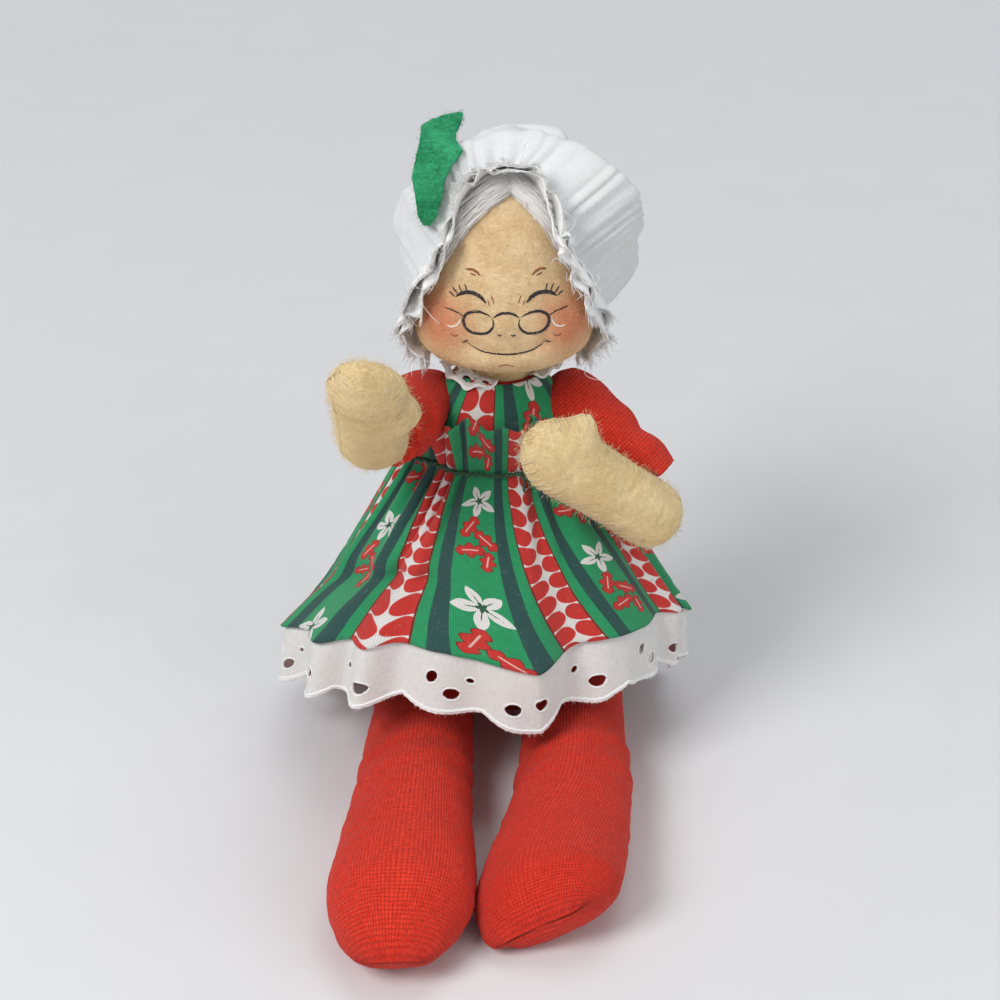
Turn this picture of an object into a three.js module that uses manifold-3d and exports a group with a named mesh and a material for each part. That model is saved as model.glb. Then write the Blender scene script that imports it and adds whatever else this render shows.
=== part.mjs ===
// A seated wire-and-felt Christmas grandmother doll with a pinafore apron, petticoat and mob cap.
// Units are millimetres and +Z is up. The doll sits on z = 0 and faces -Y, so +X is its own left side.
import * as THREE from 'three';
import { mergeVertices } from 'three/addons/utils/BufferGeometryUtils.js';
import Module from 'manifold-3d';

const wasm = await Module();
wasm.setup();

// Gaps and cloth thicknesses
const runningGap = 0.4;
const layerGap = 0.4;
const clothThickness = 0.6;
const wireRadius = 0.8;
const wireGap = 0.35;

// Torso: a stuffed red cotton bag, flat where it sits
const bodyMiddle = 2;
const seatHalfWidth = 22;
const seatHalfDepth = 9.5;
const seatBack = 15;
const bellyHeight = 32;
const bellyHalfWidth = 22;
const bellyHalfDepth = 13;
const waistHeight = 63;
const waistHalfWidth = 16;
const waistHalfDepth = 11;
const shoulderRise = 12;
const shoulderHalfWidth = 14.5;
const chestHalfDepth = 9.5;
const neckRise = 7;

// Neck and head
const neckOffset = 1;
const neckBallRadius = 6;
const neckRadius = 5;
const neckLength = 13;
const neckShow = 5;
const headHeight = 37;
const cheekHalfWidth = 17.2;
const headHalfDepth = 16;
const browHalfWidth = 13.5;
const faceForward = 4;

// Cap, hair and leaf
const capOpeningHalfWidth = 18.2;
const capOpeningHalfHeight = 22;
const capFullness = 3.5;
const capDepth = 24;
const capRound = 9;
const capLean = 28;
const capFlop = 3;
const capCreaseDepth = 0.8;
const capCrownSlope = 2;
const capBoxiness = 2.6;
const capCreases = 9;
const frillWidth = 5.5;
const frillFlare = 1.5;
const frillWaves = 13;
const frillWaveDepth = 1.3;
const frillSpan = 256;
const capThreadRadius = 0.5;
const hairRollRadius = 2;
const hairSpan = 130;
const leafLength = 20;
const leafHalfWidth = 4.2;
const leafThickness = 1.2;
const leafAngle = 58;
const leafTilt = 34;
const leafSway = 9;
const leafOverhang = 2;

// Arms
const sleeveRadius = 7.4;
const sleeveCuffRadius = 8;
const upperArmLength = 22;
const forearmLength = 36;
const wristHalfWidth = 6.5;
const handHalfWidth = 8.2;
const mittHalfThickness = 4.6;
const thumbLength = 3;
const thumbTuck = 0.8;
const wristEase = 0.3;

// Legs, pressed flat where they lie
const flatCut = 0.5;
const hipSpread = 15.5;
const hipNest = 1;
const thighHalfWidth = 10.5;
const kneeHalfWidth = 11.5;
const thighHalfHeight = 9.5;
const thighLength = 33.2;
const shinLength = 42.5;
const toeRound = 11;
const footHalfWidth = 14;
const footHalfHeight = 9.5;

// Apron, petticoat, bib and collar
const ruffleHeight = 11;
const ruffleBackHeight = 2.5;
const ruffleFlare = 1.8;
const apronHalfWidth = 43;
const apronFront = 33;
const apronBack = 25;
const hemMiddle = -1;
const apronSideHem = 21;
const apronBackHem = 15;
const skirtFolds = 13;
const foldDepth = 2;
const laceLift = 4;
const laceShow = 11;
const laceFlare = 1.5;
const laceFrontFlare = 6;
const bibRise = 4.5;
const bibSpread = 64;
const waistThreadRadius = 0.5;
const collarWidth = 5;
const collarScallops = 14;

// Joint travel in degrees that the solids have to clear
const kneeBend = 80;
const rightElbowBend = 25;

// Room for the coarse facets of the blocks that only cut other pieces
const facetAllowance = 0.6;

// Colours and finishes
const finish = (color, roughness = 0.92, metalness = 0) => (
  new THREE.MeshStandardMaterial({ color, roughness, metalness })
);
const redCotton = 0xb3221c;
const tanFelt = 0xcfa673;
const greenPrint = 0x1f7a4a;
const whiteCotton = 0xeceef2;
const greenFelt = 0x0f7a45;
const greenThread = 0x23462f;
const whiteHair = 0xf2f0ee;
const steel = 0x8d9096;

// Small helpers
const vec = (x, y, z) => new THREE.Vector3(x, y, z);
const radians = THREE.MathUtils.degToRad;
const mix = THREE.MathUtils.lerp;

function bowl(share, power) {
  return Math.max(0, share) ** power;
}

// A frame holds where a limb starts, the way it runs, its width direction and its thickness direction
function limbFrame(origin, along, widthHint) {
  const run = along.clone().normalize();
  const depth = vec().crossVectors(run, widthHint).normalize();
  const width = vec().crossVectors(depth, run).normalize();
  return { origin, run, width, depth };
}

function framePoint(frame, width, depth, run) {
  return frame.origin.clone()
    .addScaledVector(frame.width, width)
    .addScaledVector(frame.depth, depth)
    .addScaledVector(frame.run, run);
}

function signedVolume(positions, faces) {
  let total = 0;
  const corner = (i) => vec(positions[3 * i], positions[3 * i + 1], positions[3 * i + 2]);
  for (let i = 0; i < faces.length; i += 3) {
    total += corner(faces[i]).dot(corner(faces[i + 1]).cross(corner(faces[i + 2])));
  }
  return total / 6;
}

function closedGeometry(points, faces) {
  const positions = points.flatMap((point) => point.toArray());
  if (signedVolume(positions, faces) < 0) {
    faces.reverse();
  }
  const geometry = new THREE.BufferGeometry();
  geometry.setAttribute('position', new THREE.Float32BufferAttribute(positions, 3));
  geometry.setIndex(faces);
  return geometry;
}

// Joins equal rings of points into one closed skin: fans close both ends, or the last ring meets the first
function ringSolid(rings, wrapped = false) {
  const count = rings[0].length;
  const points = rings.flat();
  const faces = [];
  const bands = wrapped ? rings.length : rings.length - 1;
  for (let band = 0; band < bands; band += 1) {
    const near = band * count;
    const far = ((band + 1) % rings.length) * count;
    for (let i = 0; i < count; i += 1) {
      const j = (i + 1) % count;
      faces.push(near + i, near + j, far + j, near + i, far + j, far + i);
    }
  }
  if (!wrapped) {
    const ends = [[rings[0], 0, false], [rings.at(-1), (rings.length - 1) * count, true]];
    for (const [loop, start, last] of ends) {
      const middle = loop.reduce((sum, point) => sum.add(point), vec(0, 0, 0)).divideScalar(count);
      const pole = points.push(middle) - 1;
      for (let i = 0; i < count; i += 1) {
        const j = (i + 1) % count;
        faces.push(...(last ? [pole, start + i, start + j] : [pole, start + j, start + i]));
      }
    }
  }
  return closedGeometry(points, faces);
}

// Boolean work on closed geometries
function toSolid(geometry) {
  const bare = geometry.clone();
  bare.deleteAttribute('normal');
  bare.deleteAttribute('uv');
  const merged = mergeVertices(bare, 1e-4);
  return new wasm.Manifold(new wasm.Mesh({
    numProp: 3,
    vertProperties: new Float32Array(merged.attributes.position.array),
    triVerts: new Uint32Array(merged.index.array),
  }));
}

function toGeometry(solid) {
  const mesh = solid.getMesh();
  const geometry = new THREE.BufferGeometry();
  geometry.setAttribute('position', new THREE.BufferAttribute(mesh.vertProperties, 3));
  geometry.setIndex(new THREE.BufferAttribute(mesh.triVerts, 1));
  return geometry;
}

function cut(geometry, ...tools) {
  const solid = tools.reduce((left, tool) => left.subtract(toSolid(tool)), toSolid(geometry));
  return toGeometry(solid);
}

function join(geometry, ...others) {
  return toGeometry(others.reduce((sum, other) => sum.add(toSolid(other)), toSolid(geometry)));
}

function ball(centre, radius) {
  return new THREE.SphereGeometry(radius, 16, 10).translate(...centre.toArray());
}

// A round bar between two points, used for wires and for the bores that hold them
function bar(start, end, radius, sides = 8) {
  const run = end.clone().sub(start);
  const geometry = new THREE.CylinderGeometry(radius, radius, run.length(), sides);
  const turn = new THREE.Quaternion().setFromUnitVectors(vec(0, 1, 0), run.clone().normalize());
  geometry.applyQuaternion(turn);
  return geometry.translate(...start.clone().add(end).multiplyScalar(0.5).toArray());
}

function bore(start, end) {
  return bar(start, end, wireRadius + wireGap);
}

// A smooth run of sizes through hand-set stations: each key is a place followed by the sizes there
function sizeRun(keys) {
  const places = new Float32Array(keys.map(([place]) => place));
  const sizes = new Float32Array(keys.flatMap(([, ...rest]) => rest));
  const spline = new THREE.CubicInterpolant(places, sizes, keys[0].length - 1);
  return (place) => Array.from(spline.evaluate(place));
}

function ring(count, place) {
  return Array.from({ length: count }, (_, i) => place((i / count) * 2 * Math.PI));
}

// Stuffed limb: a rounded start, a swelling body and a rounded end, which an end reach of 0 leaves flat
function limbRings(frame, sizes, shape) {
  const { length, startReach, endReach, sides, grow = 0, roll = 0, floor = -Infinity } = shape;
  const stations = [];
  const capAngles = [18, 40, 64].map(radians);
  for (const angle of capAngles) {
    stations.push([-(startReach + grow) * Math.cos(angle), 0, Math.sin(angle)]);
  }
  const bodySteps = 6;
  for (let step = 0; step <= bodySteps; step += 1) {
    const place = (length * step) / bodySteps;
    stations.push([place, place, 1]);
  }
  if (endReach > 0) {
    for (const angle of capAngles.toReversed()) {
      stations.push([length + (endReach + grow) * Math.cos(angle), length, Math.sin(angle)]);
    }
  }
  return stations.map(([run, place, shrink]) => {
    const [halfWidth, halfDepth] = sizes(place);
    const turn = roll * THREE.MathUtils.smoothstep(place, 0, length);
    const lift = Math.hypot(halfWidth * Math.sin(turn), halfDepth * Math.cos(turn)) - sizes(0)[1];
    return ring(sides, (angle) => {
      const across = (halfWidth + grow) * shrink * Math.cos(angle);
      const deep = (halfDepth + grow) * shrink * Math.sin(angle);
      const width = across * Math.cos(turn) - deep * Math.sin(turn);
      const depth = across * Math.sin(turn) + deep * Math.cos(turn);
      const point = framePoint(frame, width, depth + (roll ? lift : 0), run);
      point.z = Math.max(point.z, floor);
      return point;
    });
  });
}

// The hollow that the rounded start of a leg piece turns in
function legSocket(frame, halfWidth, run) {
  const round = thighHalfHeight + runningGap;
  return new THREE.SphereGeometry(1, 16, 10)
    .scale(halfWidth + runningGap, round, round)
    .applyMatrix4(new THREE.Matrix4()
      .makeBasis(frame.width, frame.depth, frame.run)
      .setPosition(framePoint(frame, 0, 0, run)));
}

// Heights and joint centres that follow from the driving dimensions
const shoulderHeight = waistHeight + shoulderRise;
const torsoHeight = shoulderHeight + neckRise;
const headBase = torsoHeight + neckShow;
const seatMiddle = seatBack - seatHalfDepth;
const seatAtHip = seatMiddle - seatHalfDepth * Math.sqrt(1 - (hipSpread / seatHalfWidth) ** 2);
const hipY = seatAtHip - thighHalfHeight + hipNest;
const legAxisHeight = thighHalfHeight - flatCut;
const legTop = legAxisHeight + thighHalfHeight;
const neckBase = vec(bodyMiddle + neckOffset, 0, torsoHeight + 1);
const legPoses = {
  left: { inward: -0.115, roll: radians(52), hip: vec(bodyMiddle + hipSpread, hipY, legAxisHeight) },
  right: { inward: -0.04, roll: 0, hip: vec(bodyMiddle - hipSpread, hipY, legAxisHeight) },
};
const legFrame = ({ hip, inward }) => limbFrame(hip, vec(inward, -1, 0), vec(1, 0, 0));

// Torso
const torsoSize = sizeRun([
  [0, seatHalfWidth - 3, seatHalfDepth - 1, seatMiddle],
  [thighHalfHeight * 0.6, seatHalfWidth, seatHalfDepth, seatMiddle],
  [thighHalfHeight * 1.7, seatHalfWidth + 1, seatHalfDepth, seatMiddle],
  [bellyHeight, bellyHalfWidth, bellyHalfDepth, seatBack - bellyHalfDepth],
  [waistHeight, waistHalfWidth, waistHalfDepth, -1],
  [shoulderHeight - 2, shoulderHalfWidth + 0.5, chestHalfDepth, -1],
  [torsoHeight, neckBallRadius + 3, neckBallRadius + 1, 0],
]);
const torsoSteps = 13;
const torsoSides = 20;

function torsoPoint(height, angle, grow) {
  const [halfWidth, halfDepth, middle] = torsoSize(height);
  return vec(
    bodyMiddle + (halfWidth + grow) * Math.cos(angle),
    middle + (halfDepth + grow) * Math.sin(angle),
    height,
  );
}

function torsoForm(grow) {
  const rings = [];
  for (let step = 0; step <= torsoSteps; step += 1) {
    const height = (torsoHeight * step) / torsoSteps;
    rings.push(ring(torsoSides, (angle) => torsoPoint(height, angle, grow)));
  }
  return ringSolid(rings);
}

const shoulders = {
  left: vec(bodyMiddle + shoulderHalfWidth, -2, shoulderHeight),
  right: vec(bodyMiddle - shoulderHalfWidth, -2, shoulderHeight),
};
const sockets = Object.values(shoulders).map((centre) => ball(centre, sleeveRadius + 2 * runningGap));
const hipSockets = Object.values(legPoses).map((pose) => legSocket(legFrame(pose), thighHalfWidth, 0));
const spineFoot = vec(neckBase.x, 0, bellyHeight * 0.4);
const spineTop = neckBase.clone().setZ(neckBase.z - neckBallRadius - 1);
const torso = cut(
  torsoForm(0),
  ...sockets,
  ...hipSockets,
  ball(neckBase, neckBallRadius + runningGap),
  bore(spineFoot.clone().setZ(spineFoot.z - wireGap), neckBase),
);
const spineWire = bar(spineFoot, spineTop, wireRadius);

// Neck: a ball in the torso under a round stem that goes up into the head
const neckTop = neckBase.clone().setZ(neckBase.z + neckLength);
const neckProfile = new THREE.Path();
neckProfile.absarc(0, 0, neckBallRadius, -Math.PI / 2, Math.acos(neckRadius / neckBallRadius), false);
neckProfile.lineTo(neckRadius, neckLength);
neckProfile.lineTo(0, neckLength);
const neckStem = new THREE.LatheGeometry(neckProfile.getPoints(5), 16)
  .rotateX(Math.PI / 2)
  .translate(...neckBase.toArray());
const neckWireFoot = neckBase.clone().setZ(neckBase.z - neckBallRadius / 2);
const neck = cut(
  neckStem,
  bore(neckWireFoot.clone().setZ(neckWireFoot.z - wireGap), neckTop.clone().setZ(neckTop.z + 1)),
);
const neckWire = bar(neckWireFoot, neckTop, wireRadius);

// Head: an egg of felt, widest at the cheeks, with a pocket for the neck
const headMiddle = neckBase.x;
const headSize = sizeRun([
  [0, neckRadius + 3, neckRadius + 3, -faceForward],
  [headHeight * 0.07, cheekHalfWidth * 0.8, headHalfDepth * 0.82, -faceForward - 0.6],
  [headHeight * 0.22, cheekHalfWidth, headHalfDepth, -faceForward - 0.4],
  [headHeight * 0.42, cheekHalfWidth * 0.97, headHalfDepth, -faceForward],
  [headHeight * 0.64, browHalfWidth, headHalfDepth * 0.94, -faceForward * 0.6],
  [headHeight * 0.85, browHalfWidth * 0.75, headHalfDepth * 0.68, -faceForward * 0.2],
  [headHeight, browHalfWidth * 0.2, headHalfDepth * 0.16, 0],
]);

function headPoint(share, angle, grow) {
  const [halfWidth, halfDepth, middle] = headSize(headHeight * share);
  return vec(
    headMiddle + (halfWidth + grow) * Math.cos(angle),
    middle + (halfDepth + grow) * Math.sin(angle),
    headBase + headHeight * share,
  );
}

const headShares = [0, 0.03, 0.08, 0.16, 0.26, 0.37, 0.48, 0.6, 0.72, 0.83, 0.92, 0.97, 1];
const headSides = 24;

function headForm(grow) {
  return ringSolid(headShares.map((share) => ring(headSides, (angle) => headPoint(share, angle, grow))));
}

const neckPocketTop = neckTop.clone().setZ(neckTop.z + runningGap);
const head = cut(headForm(0), bar(neckBase, neckPocketTop, neckRadius + runningGap, 16));

// Skirt surface of the apron and the petticoat: share runs from 0 at the waist to 1 at the apron's hem
const apronFrontHem = legTop + laceLift + laceShow;
const waistLayers = 2 * (clothThickness + layerGap);
const skirtSides = skirtFolds * 4;

function hemHeight(angle) {
  const toFront = bowl(-Math.sin(angle), 0.7);
  const toBack = bowl(Math.sin(angle), 1);
  return apronSideHem + (apronFrontHem - apronSideHem) * toFront + (apronBackHem - apronSideHem) * toBack;
}

function skirtPoint(share, angle, inset) {
  const flare = share ** 1.1;
  const fold = foldDepth * share * Math.cos(skirtFolds * angle) - inset;
  const reach = Math.sin(angle) < 0 ? apronFront : apronBack;
  const halfWidth = mix(waistHalfWidth + waistLayers, apronHalfWidth, flare) + fold;
  const halfDepth = mix(waistHalfDepth + waistLayers, reach, flare) + fold;
  return vec(
    mix(bodyMiddle, hemMiddle, flare) + halfWidth * Math.cos(angle),
    mix(-1, 0, flare) + halfDepth * Math.sin(angle),
    mix(waistHeight, hemHeight(angle), share),
  );
}

function rufflePoint(rise, angle, inset) {
  const height = mix(ruffleBackHeight, ruffleHeight, bowl(-Math.sin(angle), 1.4));
  const wave = ruffleFlare * (1 + 0.4 * Math.cos(skirtFolds * angle));
  const point = skirtPoint(0, angle, inset - rise * wave);
  point.z += rise * height;
  return point;
}

function shell(outerRows, rowPoint, thickness, sides) {
  const outer = outerRows.map((row) => ring(sides, (angle) => rowPoint(row, angle, 0)));
  const inner = outerRows.map((row) => ring(sides, (angle) => rowPoint(row, angle, thickness)));
  return ringSolid([...outer, ...inner.toReversed()], true);
}

// Apron: rows below 0 are the ruffle heading above the waist thread
const apronRows = [-1, -0.5, 0, 0.15, 0.4, 0.7, 1];
const apronPoint = (row, angle, inset) => (
  row < 0 ? rufflePoint(-row, angle, inset) : skirtPoint(row, angle, inset)
);
const apron = shell(apronRows, apronPoint, clothThickness, skirtSides);

// Petticoat: hangs inside the apron, and rows above 1 are the eyelet lace below the apron's hem
const petticoatRows = [0.1, 0.4, 0.7, 1, 1.5, 2];
const petticoatInset = clothThickness + layerGap;

function petticoatPoint(row, angle, inset) {
  const drop = Math.max(0, row - 1);
  const spread = drop * mix(laceFlare, laceFrontFlare, bowl(-Math.sin(angle), 1)) / 2;
  const point = skirtPoint(Math.min(row, 1), angle, petticoatInset + inset - spread);
  point.z -= laceShow * drop;
  return point;
}

const petticoat = shell(petticoatRows, petticoatPoint, clothThickness, skirtSides);

// A thin round thread laid along a closed line
function threadRing(place, radius, sides) {
  const section = [0, 72, 144, 216, 288].map(radians);
  const rings = section.map((turn) => (
    ring(sides, (angle) => place(angle, radius * Math.cos(turn), radius * Math.sin(turn)))
  ));
  return ringSolid(rings, true);
}

const waistThread = threadRing((angle, out, up) => {
  const point = skirtPoint(0, angle, -(layerGap + waistThreadRadius + ruffleFlare * 0.1 + out));
  point.z += up;
  return point;
}, waistThreadRadius, 44);

// Closes a patch of cloth: place(u, v, side) gives the outer face for side 1 and the back for side 0
function patchSolid(columns, rows, place) {
  const width = columns + 1;
  const layer = width * (rows + 1);
  const points = [];
  for (const side of [1, 0]) {
    for (let i = 0; i < layer; i += 1) {
      points.push(place((i % width) / columns, Math.floor(i / width) / rows, side));
    }
  }
  const faces = [];
  const quad = (a, b, c, d) => faces.push(a, b, c, a, c, d);
  for (let row = 0; row < rows; row += 1) {
    for (let column = 0; column < columns; column += 1) {
      const at = row * width + column;
      quad(at, at + 1, at + 1 + width, at + width);
      quad(layer + at + width, layer + at + 1 + width, layer + at + 1, layer + at);
    }
  }
  const countUp = (count) => Array.from({ length: count }, (_, i) => i);
  const border = [
    ...countUp(columns),
    ...countUp(rows).map((row) => row * width + columns),
    ...countUp(columns).map((column) => rows * width + columns - column),
    ...countUp(rows).map((row) => (rows - row) * width),
  ];
  border.forEach((from, i) => {
    const to = border[(i + 1) % border.length];
    quad(to, from, layer + from, layer + to);
  });
  return closedGeometry(points, faces);
}

// Bib: the printed chest panel, hollowed at the armholes
const bib = cut(patchSolid(12, 6, (u, v, side) => {
  const height = mix(waistHeight + 1, shoulderHeight + bibRise, v);
  const spread = radians(bibSpread) * (1 - 0.3 * Math.sin(Math.PI * v * 0.8));
  const angle = -Math.PI / 2 + spread * (2 * u - 1);
  return torsoPoint(height, angle, layerGap + side * clothThickness);
}), ...sockets);

// Lace collar: a flat scalloped ring round the neck
const collarBed = torsoHeight + layerGap;
const collarSides = collarScallops * 3;
const collarRows = [[0, 0], [1, 0], [1, 1], [0, 1]];
const collar = ringSolid(collarRows.map(([out, up]) => ring(collarSides, (angle) => {
  const scallop = 0.6 * Math.abs(Math.cos((collarScallops * angle) / 2));
  const reach = neckBallRadius + 0.8 + out * (collarWidth + scallop);
  const height = collarBed + out * 0.8 + up * clothThickness;
  return vec(neckBase.x + reach * Math.cos(angle), reach * Math.sin(angle), height);
})), true);

// Mob cap: its frame starts at the middle of the face opening and runs back through the crown
const capFrame = limbFrame(
  vec(headMiddle, 1 - faceForward, headBase + headHeight / 2),
  vec(0, Math.cos(radians(capLean)), Math.sin(radians(capLean))),
  vec(-1, 0, 0),
);
const capWidth = capOpeningHalfWidth;
const capHeight = capOpeningHalfHeight;
const capSize = sizeRun([
  [0, capWidth, capHeight, 0],
  [capDepth * 0.3, capWidth + capFullness, capHeight - capCrownSlope, -capFlop],
  [capDepth * 0.65, capWidth + capFullness * 0.6, capHeight - 3 * capCrownSlope, -capFlop],
  [capDepth, capWidth * 0.8, capHeight - 5 * capCrownSlope, -capFlop],
]);
const capSides = capCreases * 3;

function squared(value, power) {
  return Math.sign(value) * Math.abs(value) ** (2 / power);
}

function capPoint(place, angle, grow) {
  const past = Math.max(0, place - capDepth);
  const shrink = Math.sqrt(Math.max(0, 1 - (past / (capRound + grow)) ** 2));
  const [halfWidth, halfHeight, flop] = capSize(THREE.MathUtils.clamp(place, 0, capDepth));
  const creased = THREE.MathUtils.clamp((2 * place) / capDepth, 0, 1);
  const crease = capCreaseDepth * Math.cos(capCreases * angle) * creased;
  const width = (halfWidth + crease + grow) * shrink * squared(Math.cos(angle), capBoxiness);
  const depth = (halfHeight + crease + grow) * shrink * squared(Math.sin(angle), capBoxiness);
  return framePoint(capFrame, width + flop, depth, place);
}

const headGrown = headForm(layerGap);
const capPlaces = [0, 0.15, 0.35, 0.65, 1].map((share) => share * capDepth);
const capEnd = [0.5, 0.8, 0.95];
const crownOuter = [...capPlaces, ...capEnd.map((share) => capDepth + share * capRound)];
const crownInner = [...capPlaces, ...capEnd.map((share) => capDepth + share * (capRound - clothThickness))];
const capCrown = cut(ringSolid([
  ...crownOuter.toReversed().map((place) => ring(capSides, (angle) => capPoint(place, angle, 0))),
  ...crownInner.map((place) => ring(capSides, (angle) => capPoint(place, angle, -clothThickness))),
]), headGrown);

// Frill: stands forward from the cap's gathered edge in soft waves
const frillColumns = frillWaves * 4;
const frillHalfSpan = radians(frillSpan / 2);

function frillPoint(out, angle, inset) {
  const wave = frillWaveDepth * out * Math.cos(frillWaves * angle);
  return capPoint(0, angle, frillFlare * out + wave - inset)
    .addScaledVector(capFrame.run, -layerGap - frillWidth * out);
}

const capFrill = cut(patchSolid(frillColumns, 2, (u, v, side) => (
  frillPoint(v, Math.PI / 2 + mix(-frillHalfSpan, frillHalfSpan, u), (1 - side) * clothThickness)
)), headGrown);
const capThread = threadRing((angle, out, along) => (
  capPoint(0, angle, layerGap + capThreadRadius + frillFlare * 0.1 + out)
    .addScaledVector(capFrame.run, along - layerGap / 2)
), capThreadRadius, capSides);

// Hair: a soft roll over the forehead under the frill, tapering towards the ears
const hairSteps = 12;
const hairRings = [];
for (let step = 0; step <= hairSteps; step += 1) {
  const share = (2 * step) / hairSteps - 1;
  const angle = Math.PI / 2 + (share * radians(hairSpan)) / 2;
  const radius = hairRollRadius * (1 - 0.6 * share * share);
  hairRings.push(ring(8, (turn) => (
    capPoint(0, angle, -clothThickness - layerGap - radius + radius * Math.cos(turn))
      .addScaledVector(capFrame.run, radius * Math.sin(turn) - frillWidth / 2)
  )));
}
const hair = cut(ringSolid(hairRings), headGrown);

// Holly leaf: felt with spiny lobes, tacked on the cap over the doll's right temple
const leafOutline = new THREE.Shape();
const lobes = [0.22, 0.5, 0.78];
leafOutline.moveTo(0, -leafLength / 2);
for (const side of [1, -1]) {
  const spikes = side > 0 ? lobes : lobes.toReversed();
  let last = side > 0 ? 0 : 1;
  for (const spike of [...spikes, side > 0 ? 1 : 0]) {
    const tip = Math.abs(spike - 0.5) < 0.5 ? leafHalfWidth : 0;
    const middle = leafLength * ((spike + last) / 2 - 0.5);
    const place = leafLength * (spike - 0.5);
    leafOutline.quadraticCurveTo(side * leafHalfWidth * 0.45, middle, side * tip, place);
    last = spike;
  }
}
const leafFoot = frillPoint(1, radians(leafAngle), -layerGap);
const leafUp = vec(Math.sin(radians(leafSway)), Math.sin(radians(leafTilt)), Math.cos(radians(leafTilt)));
const leafFrame = limbFrame(leafFoot, leafUp, vec(1, 0, 0));
const hollyLeaf = new THREE.ExtrudeGeometry(leafOutline, {
  depth: leafThickness,
  bevelEnabled: false,
  curveSegments: 3,
}).applyMatrix4(new THREE.Matrix4()
  .makeBasis(leafFrame.width, leafFrame.run, leafFrame.depth.clone().negate())
  .setPosition(framePoint(leafFrame, 0, 0, leafLength / 2 - leafOverhang)));

// Arms: the right reaches towards the viewer, and the left is folded with its mitt in front of the cuff
const viewer = vec(0, -0.866, 0.5);

// How far a cuff stops short of the elbow so that the mitt can bend on past its resting angle
function cuffSetback(restBend) {
  const bend = restBend + radians(rightElbowBend);
  const mittReach = wristHalfWidth + wristEase + 2 * runningGap;
  return (mittReach - sleeveCuffRadius * Math.cos(bend)) / Math.sin(bend);
}

const armPoses = {
  left: {
    upper: vec(0.66, -0.33, -0.66),
    fore: vec(-0.68, -0.33, 0.65),
    elbowAside: vec(0.07, -0.93, -0.36),
    cuffSetback: 0,
    thumbAt: 0.8,
  },
  right: {
    upper: vec(-0.42, -0.9, 0.12),
    fore: vec(0.03, -0.68, 0.73),
    elbowAside: vec(0, 0, 0),
    cuffSetback: cuffSetback(vec(-0.42, -0.9, 0.12).angleTo(vec(0.03, -0.68, 0.73))),
    thumbAt: 0.55,
  },
};

// What the sleeves are cut back from: the dressed chest and the top of the skirt, with coarse facets
const blockSides = 14;
const skirtAllowance = 2 * (layerGap + waistThreadRadius) + facetAllowance;
const chestRows = [0.5, 0.6, 0.7, 0.8, 0.88, 0.95, 1].map((share) => share * torsoHeight);
const chestBlock = ringSolid(chestRows.map((height) => (
  ring(blockSides, (angle) => torsoPoint(height, angle, waistLayers))
)));
const skirtBlockRows = [-1.15, 0, 0.2, 0.4];
const skirtBlock = ringSolid(skirtBlockRows.map((row) => (
  ring(skirtFolds * 2, (angle) => apronPoint(row, angle, -skirtAllowance))
)));

function mittForm(frame, grow, sides) {
  const length = forearmLength - handHalfWidth;
  const sizes = sizeRun([
    [0, wristHalfWidth, wristHalfWidth],
    [length * 0.5, wristHalfWidth + wristEase, (wristHalfWidth + mittHalfThickness) / 2],
    [length, handHalfWidth, mittHalfThickness],
  ]);
  const shape = { length, startReach: wristHalfWidth, endReach: handHalfWidth, sides, grow };
  return ringSolid(limbRings(frame, sizes, shape));
}

function makeArm(side) {
  const pose = armPoses[side];
  const shoulder = shoulders[side];
  const upper = limbFrame(shoulder, pose.upper, vec(0, 0, 1));
  const elbow = framePoint(upper, 0, 0, upperArmLength)
    .addScaledVector(pose.elbowAside, wristHalfWidth + runningGap);
  const run = pose.fore.clone().normalize();
  const fore = limbFrame(elbow, run, vec().crossVectors(run, viewer));
  const bendAxis = vec().crossVectors(upper.run, fore.run).normalize();
  const sleeveLength = upperArmLength - pose.cuffSetback;
  const sizes = sizeRun([
    [0, sleeveRadius, sleeveRadius],
    [sleeveLength * 0.5, (sleeveRadius + sleeveCuffRadius) / 2, (sleeveRadius + sleeveCuffRadius) / 2],
    [sleeveLength, sleeveCuffRadius, sleeveCuffRadius],
  ]);
  const shape = { length: sleeveLength, startReach: sleeveRadius, endReach: 0, sides: 16 };
  const wireEnd = framePoint(upper, 0, 0, upperArmLength - wristHalfWidth - 1);
  const wireStart = framePoint(upper, 0, 0, -sleeveRadius / 2);
  const sleeve = cut(
    ringSolid(limbRings(upper, sizes, shape)),
    cut(chestBlock, ball(shoulder, sleeveRadius + runningGap)),
    skirtBlock,
    ball(elbow, wristHalfWidth + runningGap),
    mittForm(fore, runningGap, 10),
    bore(framePoint(upper, 0, 0, -sleeveRadius / 2 - wireGap), framePoint(upper, 0, 0, upperArmLength + 1)),
  );
  const thumbPlace = forearmLength * pose.thumbAt - thumbLength;
  const thumb = new THREE.SphereGeometry(thumbLength, 10, 8)
    .translate(...framePoint(fore, handHalfWidth - thumbTuck, 0, thumbPlace).toArray());
  const foreWireEnd = forearmLength * 0.65;
  const foreWireStart = framePoint(fore, 0, 0, 1 - wristHalfWidth);
  const mitt = cut(
    join(mittForm(fore, 0, 14), thumb),
    bore(framePoint(fore, 0, 0, -wristHalfWidth - 1), framePoint(fore, 0, 0, foreWireEnd + wireGap)),
  );
  return {
    elbow,
    bendAxis,
    sleeve,
    sleeveWire: bar(wireStart, wireEnd, wireRadius),
    mitt,
    mittWire: bar(foreWireStart, framePoint(fore, 0, 0, foreWireEnd), wireRadius),
  };
}

const arms = { left: makeArm('left'), right: makeArm('right') };

// Legs: flat-lying stuffed stockings, bending down at the hip and the knee
const kneeTurn = radians(kneeBend);
const kneeReach = (thighHalfHeight * (1 - Math.cos(kneeTurn)) + runningGap) / Math.sin(kneeTurn);

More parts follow.
